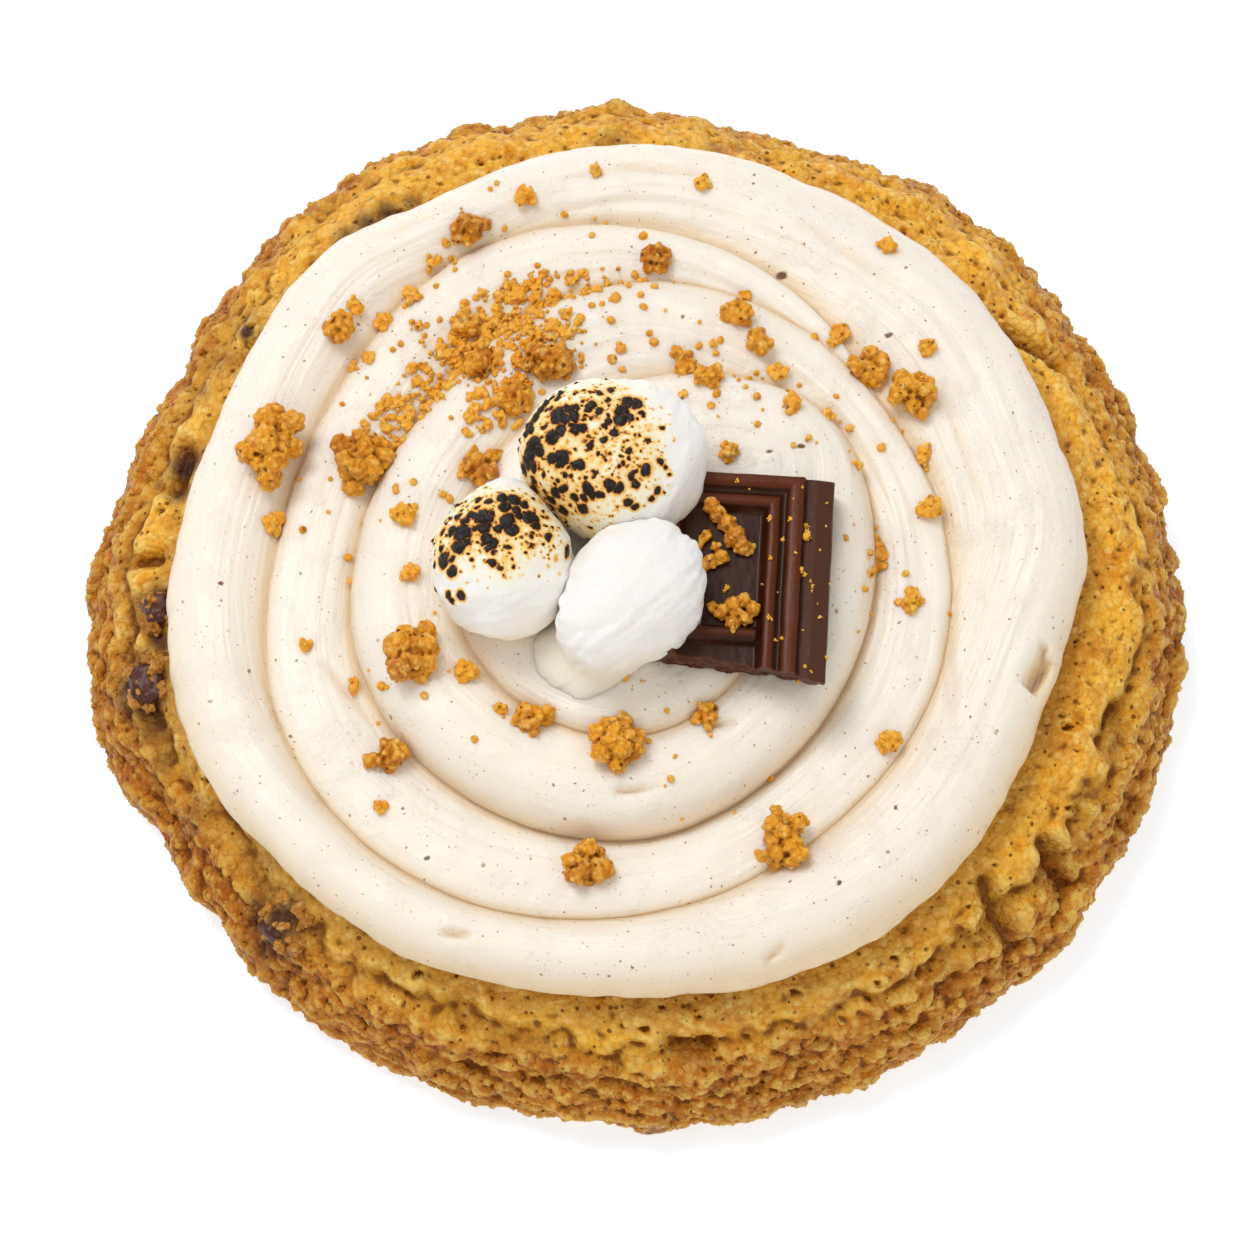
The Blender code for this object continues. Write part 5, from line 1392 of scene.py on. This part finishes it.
block_faces.append(tuple(range(len(block_points) - 1, len(block_points) - 1 - strip_rows, -1)))
spin = np.array(Matrix.Rotation(math.radians(CHOCOLATE_TURN), 3, "Z"))
block_place = (CHOCOLATE_CENTRE[0] + CENTRING[0], CHOCOLATE_CENTRE[1] + CENTRING[1], CHOCOLATE_TOP)
moulded = chocolate_finish("moulded_chocolate", body=(0.030, 0.0065, 0.0017), worn=(0.100, 0.019, 0.0028),
                           dull=(0.082, 0.030, 0.016), Specular_IOR_Level=0.2)
on_flange = np.repeat(ease(rail_edge + 0.25, rail_edge + 0.6, columns_x), strip_rows)
chocolate = piece_of("chocolate_segment", block_points @ spin.T + block_place, block_faces, moulded,
                     worn=np.concatenate(worn_strips), flange=on_flange)
chocolate.data.set_sharp_from_angle(angle=math.radians(50.0))
chocolate_tree = BVHTree.FromObject(chocolate, bpy.context.evaluated_depsgraph_get())

# Crumbs that lie on the chocolate, ball by ball, where a larger ball carries a second one,
# and the loose flakes round them.  Each has an x, a y and a radius.
CHOCOLATE_BALLS = (
    (6.8, -0.8, 0.76), (7.4, -1.5, 0.83), (8.2, -2.4, 0.83), (8.9, -3.5, 0.91), (9.4, -4.5, 0.76),
    (8.5, -3.9, 0.68), (6.4, -3.3, 0.44), (5.9, -3.9, 0.38), (7.2, -4.5, 0.44), (7.7, -5.5, 0.62),
    (6.6, -6.0, 0.62), (5.9, -6.5, 0.62), (5.7, -4.5, 0.31), (7.2, -5.8, 0.53), (6.9, -10.3, 0.53),
    (7.6, -10.7, 0.71), (8.6, -10.1, 0.76), (9.5, -9.7, 0.68), (10.4, -10.5, 0.68), (9.7, -11.3, 0.62),
    (8.6, -11.8, 0.68), (8.6, -12.5, 0.31), (8.8, -10.9, 0.62), (10.1, -4.9, 0.34), (10.5, -4.4, 0.30),
)
LOOSE_FLAKES = (
    (9.1, 1.5, 0.2), (14.9, 0.9, 0.13), (14.1, -0.2, 0.11), (12.0, -2.0, 0.2), (13.8, -2.1, 0.2),
    (15.2, -3.6, 0.42), (15.2, -2.5, 0.22), (15.35, -3.1, 0.2), (13.1, -3.9, 0.2), (17.1, -0.3, 0.13),
    (17.0, -2.5, 0.11), (12.0, -5.8, 0.2), (16.4, -4.8, 0.13), (14.7, -6.8, 0.24), (15.0, -7.2, 0.2),
    (15.5, -7.8, 0.12), (15.7, -8.2, 0.12), (15.6, -8.7, 0.12), (11.3, -8.2, 0.13), (17.2, -7.9, 0.13),
    (11.7, -11.4, 0.16), (12.0, -11.5, 0.12), (16.3, -11.1, 0.15), (12.3, -13.4, 0.16), (12.9, -13.3, 0.19),
    (14.9, -15.8, 0.2), (15.5, -16.3, 0.12), (16.8, -14.8, 0.16), (8.2, -8.3, 0.22), (7.9, -8.6, 0.18),
    (14.8, -12.4, 0.1), (16.1, -9.9, 0.1), (14.3, -5.4, 0.1), (12.6, -8.9, 0.1), (10.2, 0.9, 0.1),
)
CARRIES_ANOTHER = 0.6
lying, flakes = [], []
for x, y, radius in CHOCOLATE_BALLS:
    level = height_under(chocolate_tree, x, y)
    lying.append((x, y, level + 0.75 * radius, radius))
    if radius > CARRIES_ANOTHER:
        lying.append((x + chance.uniform(-0.2, 0.2), y + chance.uniform(-0.2, 0.2),
                      level + 1.35 * radius, 0.72 * radius))
for x, y, radius in LOOSE_FLAKES:
    flakes.append((x, y, height_under(chocolate_tree, x, y) + 0.3 * radius, radius))
chocolate_crumbs = fused_heap("chocolate_crumbs", lying, crumb_finish, smallest=0.16, largest=0.30,
                              spacing=0.42, lift=-0.05, detail=0.12, seed=31)
chocolate_flakes = fused_heap("chocolate_flakes", flakes, fall_finish, smallest=0.05, largest=0.12,
                              spacing=0.15, detail=0.05, seed=37)
for piece in (chocolate, chocolate_crumbs, chocolate_flakes):
    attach(piece, "root")
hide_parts("chocolate_piece")
